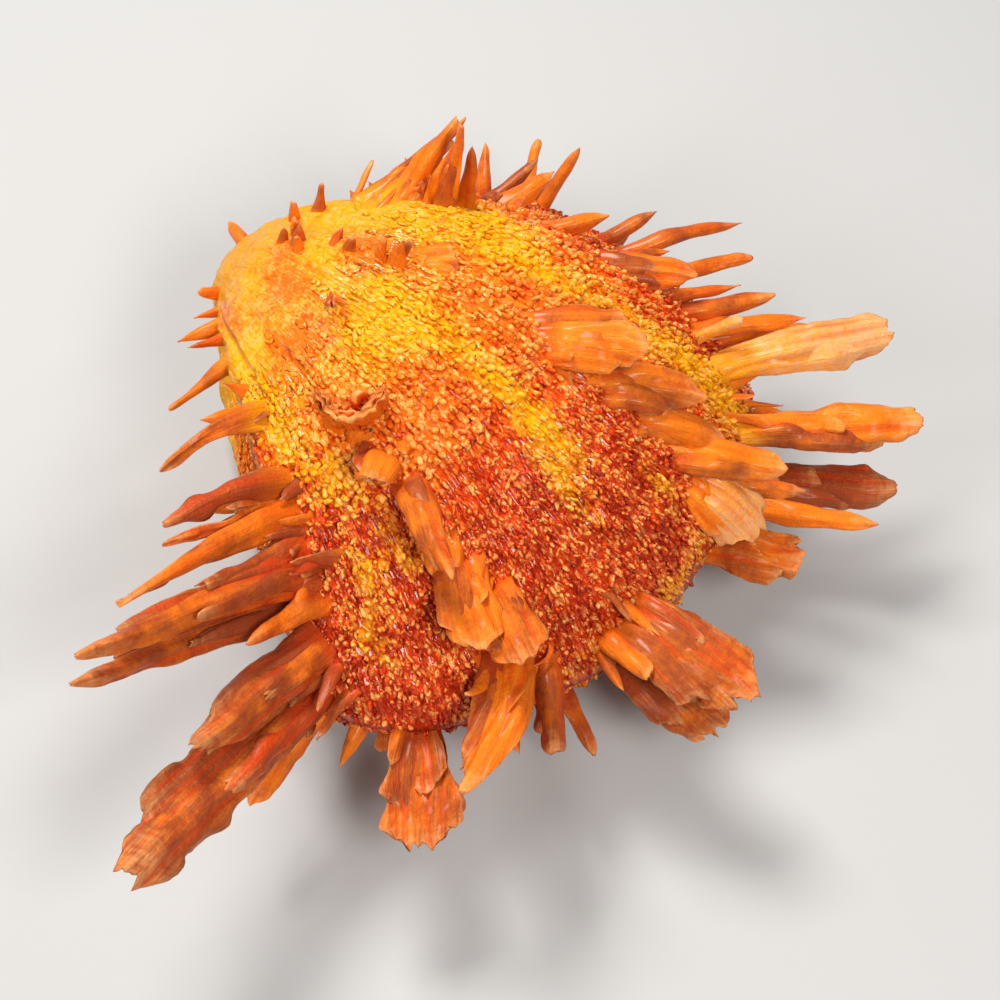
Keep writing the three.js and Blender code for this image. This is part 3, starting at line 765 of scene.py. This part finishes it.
def blade_sheet(valve, blade, seed, stations, rays):
    """One spine or leaf as a closed sheet carried along a bent path.

    Across the path the section is an arc of the blade's width, bent by curl, with a front
    and a back face a thickness apart. The width swells and tapers along the path. Grooves and
    pleats run along it, wrinkles and a fold lift it, its edges ruffle and its tip is frayed.
    """
    s = np.linspace(0, 1, stations) ** 0.92
    bearing, growth = np.array(float(blade.bearing)), np.array(float(blade.growth))
    normal = valve_frames(valve, bearing, growth)[2]
    chord = direction(blade.heading, blade.rise)
    face = direction(OPEN_HEADING, OPEN_RISE)
    face = unit(face - chord * (face @ chord))
    face = turned(face, chord, np.array(blade.roll))
    side = np.cross(chord, face)
    reach = blade.length + ROOT_SINK
    bulge = (4 * s * (1 - s))[:, None]
    root = skin_points(valve, bearing, growth) - normal * ROOT_SINK
    wobble = np.stack([plane_noise(s * 2.5, k, seed) for k in (3, 5, 8)], -1)
    path = (
        root + chord * (s * reach)[:, None] + UPWARD * bulge * blade.arch
        + side * bulge * blade.bow + face * (s ** 3)[:, None] * blade.hook
        + wobble * (s * 0.02 * reach)[:, None]
    )
    tangent = unit(np.gradient(path, s, axis=0))
    face = face - tangent * np.sum(face * tangent, -1, keepdims=True)
    face = turned(unit(face), tangent, blade.twist * ease(s))
    side = np.cross(tangent, face)

    over = np.linspace(-1, 1, rays)
    t = np.concatenate([over, over[::-1]])[None, :]
    front = np.concatenate([np.ones(rays), -np.ones(rays)])[None, :]
    s = s[:, None]
    body = mix(blade.root, blade.widest, ease(s / blade.swell))
    tapered = np.clip(s - blade.swell, 0, 1) / (1 - blade.swell)
    width = body * (1 - (1 - blade.tip) * tapered ** (1 + 1.6 * blade.tip))
    flare = np.clip(1 - s / ROOT_FLARE, 0, 1) ** 2
    narrow = ease((BROAD_BLADE - blade.widest) / 2)
    width = width * (1 + 0.6 * flare * narrow) * mix(0.5, 1, ease(s / 0.07))
    ending = np.clip((s - 1) / END_ROUNDING + 1, 0, 1)
    width = width * np.sqrt(1 - mix(0.95, 0.45, blade.tip) * ending ** 3)
    edge = np.sign(t) * 40 + s * reach
    ragged = plane_noise(edge / 5.5, 0.5, seed + 1) + 0.35 * plane_noise(edge / 1.9, 0.5, seed + 6)
    width = width * (1 + blade.ruffle * ease(s / 0.5) * ragged)
    thickness = blade.thick * mix(1.5, 0.55, ease(s)) * (1 + 1.3 * flare)
    thickness = thickness * mix(0.28, 1, np.sqrt(np.clip(1 - t * t, 0, 1)))
    across = t * width / 2
    grooves = plane_noise(across / GROOVE_SPACING + 20, s * reach / 30, seed + 2)
    wrinkles = plane_noise(across / 3.2 + 50, s * reach / 6, seed + 3)
    frill = np.abs(t) ** 3 * plane_noise(edge / 4.5, 0.5, seed + 8)
    fold = 1 - np.abs(np.clip(t - blade.crease, -1, 1))
    pleats = np.cos(2 * np.pi * (across / PLEAT_SPACING + 0.4 * plane_noise(s * 3, 0.5, seed + 7)))
    pleats = pleats * ease(s / 0.2) * (1 - narrow)
    offset = (
        front * thickness / 2
        + GROOVE_DEPTH * grooves
        + PLEAT_SHARE * blade.widest * pleats
        + WRINKLE_DEPTH * wrinkles * ease(s / 0.4)
        + FRILL_DEPTH * frill * (1 - 0.6 * narrow) * ease(s / 0.3)
        + blade.fold * fold * ease(s / 0.3)
    )
    curl = np.radians(blade.curl) * t / 2
    out = across * np.sinc(curl / np.pi) - np.sin(curl) * offset
    lift = across * np.sin(curl / 2) * np.sinc(curl / 2 / np.pi) + np.cos(curl) * offset
    torn = plane_noise(t * blade.widest / 3.2 + 9, 0.5, seed + 4)
    torn = torn + 0.5 * plane_noise(t * blade.widest / 1.1 + 9, 0.5, seed + 5)
    rounding = 0.25 * blade.widest * blade.tip * t * t
    ends = (blade.fray * 2.2 * torn * (0.3 + blade.tip) - rounding) * s ** 8
    points = (
        path[:, None, :] + side[:, None, :] * out[..., None] + face[:, None, :] * lift[..., None]
        + tangent[:, None, :] * ends[..., None]
    )
    around = 2 * rays
    row = np.arange(stations - 1)[:, None] * around
    column = np.arange(around)[None, :]
    after = (column + 1) % around
    a, b = row + column, row + after
    walls = np.stack([np.stack([a, b, b + around], -1), np.stack([a, b + around, a + around], -1)])
    pair = np.arange(rays - 1)
    mirror = around - 1 - pair
    cap = np.concatenate([
        np.stack([pair, pair + 1, mirror - 1], -1),
        np.stack([pair, mirror - 1, mirror], -1),
    ])
    last = (stations - 1) * around
    triangles = np.concatenate([walls.reshape(-1, 3), cap[:, ::-1], cap + last])
    values = {
        "along": np.broadcast_to(s, out.shape).ravel(),
        "edge": np.broadcast_to(np.abs(t), out.shape).ravel(),
        "ridge": (0.7 * grooves + 0.45 * pleats + 0 * out).ravel(),
        "yellow": np.full(out.size, float(yellow_share(bearing, growth))),
        "tone": np.full(out.size, blade.tone + 0.3 * NOISE_TABLE[seed % NOISE_TABLE.size]),
    }
    uv = np.stack([across + seed * 7.3, np.broadcast_to(s * reach, out.shape)], -1)
    points = points.reshape(-1, 3)
    if valve is LOWER:
        points[:, 2] = np.maximum(points[:, 2], 0.1 - SCAR_DEPTH)
    return Sheet(points, triangles, uv.reshape(-1, 2), values)


def layers(blade):
    """A blade with the shorter lamellae that lie against it where it is broad."""
    if blade.widest < BROAD_BLADE:
        return [blade]
    behind = blade._replace(
        length=0.8 * blade.length, widest=1.05 * blade.widest, roll=blade.roll - 16,
        heading=blade.heading - 3, hook=blade.hook - 1.5, tone=blade.tone - 0.3, thick=0.8,
    )
    before = blade._replace(
        length=0.55 * blade.length, widest=0.6 * blade.widest, roll=blade.roll + 14,
        heading=blade.heading + 3, hook=blade.hook + 1.0, tone=blade.tone - 0.1, thick=0.7,
    )
    return [blade, behind, before]


def shards(blade, generator):
    """Small pointed lamellae around the root of a broad blade."""
    if blade.root < BROAD_BLADE:
        return []
    return [
        blade._replace(
            bearing=blade.bearing + generator.normal(0, 3.2),
            growth=min(blade.growth + generator.normal(0, 0.022), 0.985),
            heading=blade.heading + generator.normal(0, 12),
            rise=blade.rise + generator.normal(0, 9),
            length=np.clip(blade.length * generator.uniform(0.15, 0.42), 4, 12),
            root=0.5 * blade.root, widest=generator.uniform(1.4, 3.2), arch=0.5,
            tip=generator.uniform(0.1, 0.6), tone=blade.tone + generator.normal(0, 0.25),
            roll=generator.normal(0, 25), fold=0, hook=generator.normal(0, 1),
        )
        for _ in range(SHARDS)
    ]


def blades_sheet(valve, blades, seed):
    """A group of blades joined in one sheet, each with chance of its own. Broad blades have
    the finest grids and shards the coarsest."""
    generator = np.random.default_rng(seed)
    small = [shard for blade in blades for shard in shards(blade, generator)]
    large = [layer for blade in blades for layer in layers(blade)]
    grids = [BROAD_GRID if blade.widest >= BROAD_BLADE else THIN_GRID for blade in large]
    grids += [SHARD_GRID] * len(small)
    return join_sheets([
        blade_sheet(valve, blade, seed + 11 * number, *grid)
        for number, (blade, grid) in enumerate(zip(large + small, grids))
    ])


def plain_blade(valve, bearing, growth, rise, length, width):
    """A plain spine that leaves the valve the way the surface faces."""
    normal = valve_frames(valve, np.array(float(bearing)), np.array(float(growth)))[2]
    heading = float(np.degrees(np.arctan2(normal[0], -normal[1])))
    return Blade(bearing, growth, heading, rise, length, width, 0.8 * width, 1, 0.3)


def far_blades():
    """Spines on the far ribs of the upper valve."""
    return [
        plain_blade(UPPER, bearing, growth, 24 - 6 * ring, 10 + 3 * ring - 1.5 * rib, FAR_WIDTH)
        for rib, bearing in enumerate(FAR_RIBS)
        for ring, growth in enumerate(FAR_GROWTHS)
    ]


def lower_row_blades():
    """Spines in rows around the lower valve, with lengths that swing as a sine along each."""
    return [
        plain_blade(LOWER, bearing, growth, rise, length + swing * np.sin(pace * rib), width)
        for growth, rise, length, swing, pace, width, bearings in LOWER_ROWS
        for rib, bearing in enumerate(bearings)
    ]


def ligament_sheet():
    """Oval plug along y: an ellipse swept along its length with rounded ends."""
    size = LIGAMENT_SIZE / 2
    turn = np.linspace(-np.pi / 2, np.pi / 2, LIGAMENT_RINGS)[:, None]
    ring = np.arange(LIGAMENT_RAYS) * 2 * np.pi / LIGAMENT_RAYS
    full = np.cos(turn) ** 0.25
    x = size.x * full * np.cos(ring)
    z = size.z * full * np.sin(ring)
    y = size.y * np.sin(turn) + 0 * ring
    points = np.stack([x, y, z], -1).reshape(-1, 3) + np.array(LIGAMENT_MIDDLE)
    points += 0.12 * lattice_noise(points * [1, 0.3, 1], 0.8, 31)[:, None] * [1, 0, 1]
    starts = np.arange(LIGAMENT_RINGS - 1) * LIGAMENT_RAYS
    walls = [
        ring_triangles(start, start + LIGAMENT_RAYS, LIGAMENT_RAYS, LIGAMENT_RAYS)
        for start in starts
    ]
    return Sheet(points, np.concatenate(walls), points[:, [0, 1]], {})


class Amount:
    """A shader socket. Arithmetic on it adds Math nodes to its recipe."""

    def __init__(self, recipe, socket):
        self.recipe = recipe
        self.socket = socket

    def math(self, operation, first, second=0.0):
        """A Math node on two amounts or numbers."""
        return self.recipe.node("ShaderNodeMath", {"operation": operation}, {0: first, 1: second})

    def __add__(self, other):
        return self.math("ADD", self, other)

    def __radd__(self, other):
        return self.math("ADD", other, self)

    def __sub__(self, other):
        return self.math("SUBTRACT", self, other)

    def __rsub__(self, other):
        return self.math("SUBTRACT", other, self)

    def __mul__(self, other):
        return self.math("MULTIPLY", self, other)

    def __rmul__(self, other):
        return self.math("MULTIPLY", other, self)

    def step(self, low, high):
        """0 below low, 1 above high, eased between them."""
        settings = {"interpolation_type": "SMOOTHSTEP"}
        sockets = {"Value": self, "From Min": low, "From Max": high}
        return self.recipe.node("ShaderNodeMapRange", settings, sockets)


class Recipe:
    """A material in the making."""

    def __init__(self, name):
        self.material = bpy.data.materials.new(name)
        self.material.use_nodes = True
        self.tree = self.material.node_tree
        self.tree.nodes.clear()

    def node(self, kind, settings=None, sockets=None, output=0):
        """Adds a node: its settings first, then a value or a link for each named socket.
        Returns the chosen output, where the node has one."""
        added = self.tree.nodes.new(kind)
        for key, value in (settings or {}).items():
            setattr(added, key, value)
        for key, value in (sockets or {}).items():
            if isinstance(value, Amount):
                self.tree.links.new(value.socket, added.inputs[key])
            else:
                added.inputs[key].default_value = value
        return None if output is None else Amount(self, added.outputs[output])

    def value(self, name):
        """A named value of the piece's own mesh."""
        return self.node("ShaderNodeAttribute", {"attribute_name": name}, output=2)

    def place(self):
        """The place on the piece, in metres."""
        return self.node("ShaderNodeTexCoord", output=3)

    def skin(self, u, v):
        """The piece's own UV map, stretched."""
        uv = self.node("ShaderNodeUVMap", {"uv_map": "Skin"})
        return self.node("ShaderNodeMapping", {}, {"Vector": uv, "Scale": (u, v, 1)})

    def noise(self, vector, scale, detail, rough):
        """Noise from 0 to 1."""
        sockets = {"Vector": vector, "Scale": scale, "Detail": detail, "Roughness": rough}
        return self.node("ShaderNodeTexNoise", {}, sockets)

    def blend(self, share, first, second):
        """A colour between two colours."""
        sockets = {0: share, 6: first, 7: second}
        return self.node("ShaderNodeMix", {"data_type": "RGBA"}, sockets, output=2)

    def bump(self, height, distance, strength=1.0):
        """A normal tilted by a height in the given distance."""
        sockets = {"Height": height, "Distance": distance, "Strength": strength}
        return self.node("ShaderNodeBump", {}, sockets)

    def finish(self, **sockets):
        """Ends the recipe in a principled surface."""
        named = {
            key.replace("_", " ").title().replace("Ior", "IOR"): value
            for key, value in sockets.items()
        }
        surface = self.node("ShaderNodeBsdfPrincipled", {}, named)
        self.node("ShaderNodeOutputMaterial", {}, {"Surface": surface}, output=None)
        return self.material


# Reflections at the surface keep the orange of the shell under them.
SPECULAR_TINT = (1.0, 0.5, 0.12, 1.0)


def skin_colour(recipe, colours):
    """Colour of the shell's skin: yellow to orange to dark red, broken into streaks.

    The shares of yellow and red come with the mesh. Noise stretched along the growth breaks
    them into streaks, finer noise on the place mottles them, and small cells stretched along
    the growth grain them. Grooves between grains and beads get painted shade in red and wine
    red, their crowns a painted highlight in the pale crown colour, and pale flecks strewn over
    all are painted glints.
    Returns the colour, the fine noise and the height of the grains.
    """
    streaks = recipe.noise(recipe.skin(3.0, 0.9), 3.0, 3.0, 0.65)
    blotches = recipe.noise(recipe.place(), 130.0, 2.0, 0.7)
    mottle = recipe.noise(recipe.place(), 450.0, 2.0, 0.7)
    fine = recipe.noise(recipe.place(), 1300.0, 2.0, 0.65)
    warped = recipe.skin(9.0, 6.5)
    distance = recipe.node("ShaderNodeTexVoronoi", {}, {"Vector": warped, "Scale": 1.0})
    bead = recipe.value("crown")
    grain = (1 - distance * 1.2) * (1 - bead.step(0.5, 0.9) * 0.85)
    # Crown is high on bead tops and in the middle of grain cells: it lightens them as a painted
    # highlight and, where low, darkens the grooves as painted shade.
    crown = bead * 0.6 + grain * 0.55
    chance = recipe.value("chance") - 0.5
    broken = (streaks - 0.5) + (blotches - 0.5) * 1.3 + (mottle - 0.5) * 1.3
    broken = broken + (fine - 0.5) * 0.9 + chance * 0.45
    yellow = (recipe.value("yellow") + broken * 0.9 + (crown - 0.5) * 0.4).step(0.2, 1.05)
    # Low crown makes the grooves redder and darker in wine red: painted shade.
    red = (recipe.value("red") - broken * 0.8 - (crown - 0.4) * 0.6).step(0.1, 1.0)
    wine_and_groove_shade = (recipe.value("red") - broken * 1.4 - crown * 0.5).step(0.55, 1.25)
    colour = recipe.blend(red, colours.orange, colours.red)
    colour = recipe.blend(wine_and_groove_shade * 0.75, colour, colours.wine_and_groove_shade)
    colour = recipe.blend(yellow, colour, colours.yellow)
    # Painted highlight: the pale bead crown colour laid on the tops of beads and grain cells.
    tip = crown.step(0.2, 0.6) * (chance * 0.3 + broken + (fine - 0.5) * 2.2).step(-0.1, 0.65)
    colour = recipe.blend(tip * 0.85, colour, colours.tip)
    # Painted glints: pale flecks in the same highlight colour, more on crowns and fewer on yellow.
    painted_glints = recipe.noise(recipe.skin(40.0, 9.0), 1.0, 2.0, 0.7).step(0.52, 0.66)
    painted_glints = painted_glints * (mottle + crown * 0.3).step(0.45, 0.75) * (1 - yellow * 0.4)
    return recipe.blend(painted_glints * 0.6, colour, colours.tip), fine, grain


def skin_material(name, colours, gloss):
    """Glossy shell skin with fine grain and threads under a thin clear coat."""
    recipe = Recipe(name)
    colour, fine, cells = skin_colour(recipe, colours)
    pits = recipe.noise(recipe.place(), 600.0, 3.0, 0.6)
    threads = recipe.noise(recipe.skin(14.0, 3.0), 3.0, 1.0, 0.5)
    height = pits * 0.9 + threads * 0.3 + cells * 0.8
    return recipe.finish(
        base_color=colour,
        roughness=0.38 + (fine - 0.5) * 0.3,
        normal=recipe.bump(height, 0.0008, 0.9),
        specular_ior_level=0.2,
        specular_tint=SPECULAR_TINT,
        coat_weight=gloss * (1 - recipe.value("yellow").step(0.6, 0.95) * 0.8),
        coat_roughness=0.07,
    )


def blade_material(name, colours, gloss):
    """Spines and leaves: dark red roots, orange blades and paler worn tips, streaked along."""
    recipe = Recipe(name)
    along = recipe.value("along")
    streaks = recipe.noise(recipe.skin(1.1, 0.07), 1.0, 4.0, 0.65)
    threads = recipe.noise(recipe.skin(3.2, 0.16), 1.0, 3.0, 0.6)
    bands = recipe.noise(recipe.skin(0.3, 0.6), 1.0, 3.0, 0.6)
    cloud = recipe.noise(recipe.place(), 160.0, 4.0, 0.65)
    tone = recipe.value("tone")
    broken = (streaks - 0.5) * 0.45 + (threads - 0.5) * 0.15 + (cloud - 0.5) * 1.4
    colour = recipe.blend((tone + broken).step(0.0, 0.8), colours.leaf_dark, colours.leaf)
    gold = (tone + broken * 0.9 + (bands - 0.5) * 0.2).step(0.75, 1.5)
    colour = recipe.blend(gold, colour, colours.gold)
    granules = recipe.noise(recipe.place(), 700.0, 3.0, 0.7)
    tan = (tone + along * 0.5 + (granules - 0.5) * 1.6 + (cloud - 0.5)).step(1.2, 2.1)
    colour = recipe.blend(tan * 0.8, colour, colours.tan)
    # Painted shade: redder in the valleys of the grooves and pleats.
    colour = recipe.blend((1 - recipe.value("ridge").step(-0.9, 0.2)) * 0.55, colour, colours.red)
    root = 1 - (along + (cloud - 0.5) * 0.5).step(0.02, 0.38)
    skin = recipe.blend(recipe.value("yellow"), colours.red, colours.yellow)
    colour = recipe.blend(root * 0.7, colour, skin)
    tip = (along + (streaks - 0.5) * 0.5 + (bands - 0.5) * 0.4).step(0.78, 1.12)
    rim = recipe.value("edge").step(0.88, 1.0) * (along + (bands - 0.5) * 0.6).step(0.25, 0.7)
    colour = recipe.blend(tip * 0.45, colour, colours.pale)
    colour = recipe.blend(rim * 0.25, colour, colours.pale)
    grain = recipe.noise(recipe.place(), 1100.0, 3.0, 0.6)
    height = streaks * 0.6 + threads * 0.4 + bands * 0.3 + grain * 0.3 + granules * 0.5
    return recipe.finish(
        base_color=colour,
        roughness=0.42 + (streaks - 0.5) * 0.3,
        normal=recipe.bump(height, 0.0007, 0.8),
        specular_ior_level=0.5,
        specular_tint=SPECULAR_TINT,
        coat_weight=gloss * (0.6 - along.step(0.1, 0.7) * 0.4),
        coat_roughness=0.2,
    )


def ligament_material(colours):
    """Dark horny ligament with fine growth bands."""
    recipe = Recipe("ligament_horn")
    bands = recipe.noise(recipe.skin(0.4, 6.0), 1.0, 3.0, 0.6)
    colour = recipe.blend(bands, colours.horn, colours.horn_pale)
    return recipe.finish(
        base_color=colour, roughness=0.45 + bands * 0.2, normal=recipe.bump(bands, 0.0004)
    )


def floor_material(colours):
    """Plain pale floor with a faint tooth."""
    recipe = Recipe("pale_floor")
    tooth = recipe.noise(recipe.place(), 300.0, 2.0, 0.5)
    return recipe.finish(base_color=colours.floor, roughness=0.75 + tooth * 0.1)


def colour_property(name, description, colour):
    """A colour that a user may change."""
    return bpy.props.FloatVectorProperty(
        name=name, description=description, subtype="COLOR", size=4, min=0, max=1,
        default=(*colour, 1.0),
    )


def length_property(name, description, metres):
    """A length that a user may change."""
    return bpy.props.FloatProperty(
        name=name, description=description, default=metres, unit="LENGTH"
    )


def angle_property(name, description, degrees):
    """An angle that a user may change."""
    return bpy.props.FloatProperty(
        name=name, description=description, default=float(np.radians(degrees)),
        subtype="ANGLE", unit="ROTATION",
    )


class ShellColours(bpy.types.PropertyGroup):
    """Colours of the shell and its stage."""

    yellow: colour_property("Yellow", "Umbo and streaks", (0.92, 0.4, 0.003))
    orange: colour_property("Orange", "Middle of the valves", (0.88, 0.17, 0.004))
    # Red is the margins' own colour, and also painted shade in the grooves between beads and in
    # the valleys of blade grooves and pleats.
    red: colour_property("Red", "Toward the margins", (0.66, 0.034, 0.002))
    # Wine red is the darkest patches' own colour, and also painted shade in the grooves between
    # beads.
    wine_and_groove_shade: colour_property("Wine red", "Darkest patches", (0.3, 0.01, 0.002))
    # Bead crown colour is a painted highlight on the crowns of beads and grains, and the colour of
    # the painted glints.
    tip: colour_property("Bead crown", "Crowns of the beads", (0.96, 0.44, 0.11))
    pale: colour_property("Pale", "Worn tips and edges", (0.93, 0.46, 0.17))
    leaf: colour_property("Leaf", "Spines and leaves", (0.84, 0.18, 0.008))
    leaf_dark: colour_property("Dark leaf", "Darker clouds in the leaves", (0.3, 0.05, 0.016))
    gold: colour_property("Gold leaf", "Brightest leaves", (0.94, 0.32, 0.02))
    tan: colour_property("Tan", "Granular ends and fans", (0.8, 0.4, 0.2))
    horn: colour_property("Horn", "Ligament", (0.02, 0.01, 0.006))
    horn_pale: colour_property("Pale horn", "Ligament bands", (0.06, 0.03, 0.015))
    floor: colour_property("Floor", "Floor", (0.5, 0.49, 0.475))


class ShellFinish(bpy.types.PropertyGroup):
    """Finish of the shell."""

    gloss: bpy.props.FloatProperty(
        name="Gloss", description="Weight of the clear coat", default=0.5, min=0, max=1,
        subtype="FACTOR",
    )
    fineness: bpy.props.FloatProperty(
        name="Fineness", description="Share of the full number of rays and rings on the valves",
        default=1.0, min=0.2, max=1,
    )


class ShellStage(bpy.types.PropertyGroup):
    """Camera and lights."""

    azimuth: angle_property("Azimuth", "Plan direction that the camera looks from", -57)
    elevation: angle_property("Elevation", "How high the camera looks from", 59)
    distance: length_property("Distance", "From the camera to its aim", 0.465)
    lens: bpy.props.FloatProperty(
        name="Lens", description="Focal length of the camera", default=85,
        subtype="DISTANCE_CAMERA",
    )
    key_power: bpy.props.FloatProperty(
        name="Key light", description="Power of the key light", default=5, unit="POWER"
    )


CAMERA_AIM = Vector((-12.6, -8.0, 15))
FLOOR_HALF = 3.0

# Soft square lights: name, azimuth, elevation, side in metres and share of the key power.
LIGHTS = [("key", 150, 58, 0.22, 1), ("front", -25, 52, 0.2, 0.62), ("left", -112, 42, 0.2, 0.3)]
LIGHT_DISTANCE = 0.7
SURROUND_COLOUR = (1, 0.97, 0.94, 1)
SURROUND_STRENGTH = 0.2


def colours():
    """The scene's shell colours."""
    return bpy.context.scene.shell_colours


def gloss():
    """The scene's clear coat weight."""
    return bpy.context.scene.shell_finish.gloss


def bead_pieces(side, valve, groups, seed, material):
    """The beads of one valve, as one piece for each group."""
    generator = np.random.default_rng(seed)
    for name, first, last in groups:
        places = bead_places(valve, first, last, generator)
        sheet = bead_sheet(valve, *places, generator)
        mesh_piece(f"{side}_beads_{name}", sheet, material)


class SHELL_OT_upper_body(bpy.types.Operator):
    """Build the upper valve's wall"""

    bl_idname = "shell.upper_body"
    bl_label = "Upper Valve"

    def execute(self, context):
        sheet = valve_body(UPPER, context.scene.shell_finish.fineness)
        material = skin_material("upper_skin", colours(), gloss())
        mesh_piece("upper_valve_wall", sheet, material, "upper_valve")
        return {"FINISHED"}


class SHELL_OT_upper_beads(bpy.types.Operator):
    """Build the beads on the upper valve's riblets, in groups round the valve"""

    bl_idname = "shell.upper_beads"
    bl_label = "Upper Beads"

    def execute(self, context):
        material = skin_material("upper_bead_skin", colours(), gloss())
        bead_pieces("upper", UPPER, UPPER_BEAD_GROUPS, UPPER_BEAD_SEED, material)
        return {"FINISHED"}


class SHELL_OT_upper_blades(bpy.types.Operator):
    """Build the upper valve's spines and leaves, rib by rib"""

    bl_idname = "shell.upper_blades"
    bl_label = "Upper Spines and Leaves"

    def execute(self, context):
        material = blade_material("upper_leaf", colours(), gloss())
        groups = {
            "umbo_prickles": UMBO_PRICKLES,
            "left_spines": LEFT_BLADES,
            "middle_rib_leaves": MIDDLE_RIB_LEAVES,
            "front_leaves": FRONT_LEAVES,
            "right_rib_leaves": RIGHT_RIB_LEAVES,
            "right_spines": RIGHT_BLADES,
            "top_spines": TOP_BLADES,
            "far_spines": far_blades(),
        }
        for number, (name, blades) in enumerate(groups.items()):
            sheet = blades_sheet(UPPER, blades, UPPER_BLADE_SEED + BLADE_SEED_STEP * number)
            mesh_piece(name, sheet, material)
        return {"FINISHED"}


class SHELL_OT_lower_valve(bpy.types.Operator):
    """Build the lower valve: its wall, beads, spines and fans"""

    bl_idname = "shell.lower_valve"
    bl_label = "Lower Valve"

    def execute(self, context):
        sheet = valve_body(LOWER, LOWER_FINENESS * context.scene.shell_finish.fineness)
        material = skin_material("lower_skin", colours(), gloss())
        mesh_piece("lower_valve_wall", sheet, material, "lower_valve")
        bead_pieces("lower", LOWER, LOWER_BEAD_GROUPS, LOWER_BEAD_SEED, material)
        material = blade_material("lower_leaf", colours(), gloss())
        sheet = blades_sheet(LOWER, LOWER_BLADES + lower_row_blades(), LOWER_BLADE_SEED)
        mesh_piece("lower_spines", sheet, material)
        return {"FINISHED"}


class SHELL_OT_ligament(bpy.types.Operator):
    """Build the ligament plug in the hinge"""

    bl_idname = "shell.ligament"
    bl_label = "Hinge Ligament"

    def execute(self, context):
        material = ligament_material(colours())
        mesh_piece("ligament_plug", ligament_sheet(), material, "hinge_ligament")
        return {"FINISHED"}


def look_from(thing, aim, azimuth, elevation, distance):
    """Places a camera or light at a distance from its aim and turns it to face it."""
    flat = np.cos(elevation)
    back = Vector((np.sin(azimuth) * flat, -np.cos(azimuth) * flat, np.sin(elevation)))
    thing.location = aim + back * distance
    thing.rotation_euler = back.to_track_quat("Z", "Y").to_euler()


def add_light(name, aim, azimuth, elevation, side, power):
    """A square soft light."""
    data = bpy.data.lights.new(name, "AREA")
    data.size = side
    data.energy = power
    light = bpy.data.objects.new(name, data)
    bpy.context.scene.collection.objects.link(light)
    look_from(light, aim, np.radians(azimuth), np.radians(elevation), LIGHT_DISTANCE)


class SHELL_OT_stage(bpy.types.Operator):
    """Build the floor, the soft lights and the camera"""

    bl_idname = "shell.stage"
    bl_label = "Stage"

    def execute(self, context):
        scene = context.scene
        stage = scene.shell_stage
        aim = shell_offset() + CAMERA_AIM * MM
        mesh = bpy.data.meshes.new("floor")
        corners = [
            (x * FLOOR_HALF, y * FLOOR_HALF, 0) for x, y in ((-1, -1), (1, -1), (1, 1), (-1, 1))
        ]
        mesh.from_pydata(corners, [], [(0, 1, 2, 3)])
        mesh.materials.append(floor_material(colours()))
        floor = bpy.data.objects.new("floor", mesh)
        scene.collection.objects.link(floor)
        data = bpy.data.cameras.new("photo_view")
        data.lens = stage.lens
        camera = bpy.data.objects.new("photo_view", data)
        scene.collection.objects.link(camera)
        look_from(camera, aim, stage.azimuth, stage.elevation, stage.distance)
        scene.camera = camera
        for name, azimuth, elevation, side, share in LIGHTS:
            add_light(name, aim, azimuth, elevation, side, share * stage.key_power)
        world = bpy.data.worlds.new("studio")
        world.use_nodes = True
        background = world.node_tree.nodes["Background"]
        background.inputs["Color"].default_value = SURROUND_COLOUR
        background.inputs["Strength"].default_value = SURROUND_STRENGTH
        scene.world = world
        scene.view_settings.view_transform = "Standard"
        return {"FINISHED"}


OPERATORS = (
    SHELL_OT_upper_body,
    SHELL_OT_upper_beads,
    SHELL_OT_upper_blades,
    SHELL_OT_lower_valve,
    SHELL_OT_ligament,
    SHELL_OT_stage,
)


class SHELL_PT_panel(bpy.types.Panel):
    """Lists the shell's pieces and settings"""

    bl_idname = "SHELL_PT_panel"
    bl_label = "Thorny Oyster Shell"
    bl_space_type = "VIEW_3D"
    bl_region_type = "UI"
    bl_category = "Shell"

    def draw(self, context):
        for group in ("shell_finish", "shell_colours", "shell_stage"):
            settings = getattr(context.scene, group)
            box = self.layout.box()
            for name in settings.bl_rna.properties.keys():
                if name not in {"rna_type", "name"}:
                    box.prop(settings, name)
        for operator in OPERATORS:
            self.layout.operator(operator.bl_idname)


PROPERTY_GROUPS = {
    "shell_colours": ShellColours,
    "shell_finish": ShellFinish,
    "shell_stage": ShellStage,
}


def register():
    for name, group in PROPERTY_GROUPS.items():
        bpy.utils.register_class(group)
        setattr(bpy.types.Scene, name, bpy.props.PointerProperty(type=group))
    for item in (*OPERATORS, SHELL_PT_panel):
        bpy.utils.register_class(item)


def unregister():
    for item in (SHELL_PT_panel, *reversed(OPERATORS)):
        bpy.utils.unregister_class(item)
    for name, group in reversed(PROPERTY_GROUPS.items()):
        delattr(bpy.types.Scene, name)
        bpy.utils.unregister_class(group)


def main():
    """Builds every piece in order."""
    register()
    for operator in OPERATORS:
        group, name = operator.bl_idname.split(".")
        getattr(getattr(bpy.ops, group), name)()


if __name__ == "__main__":
    main()
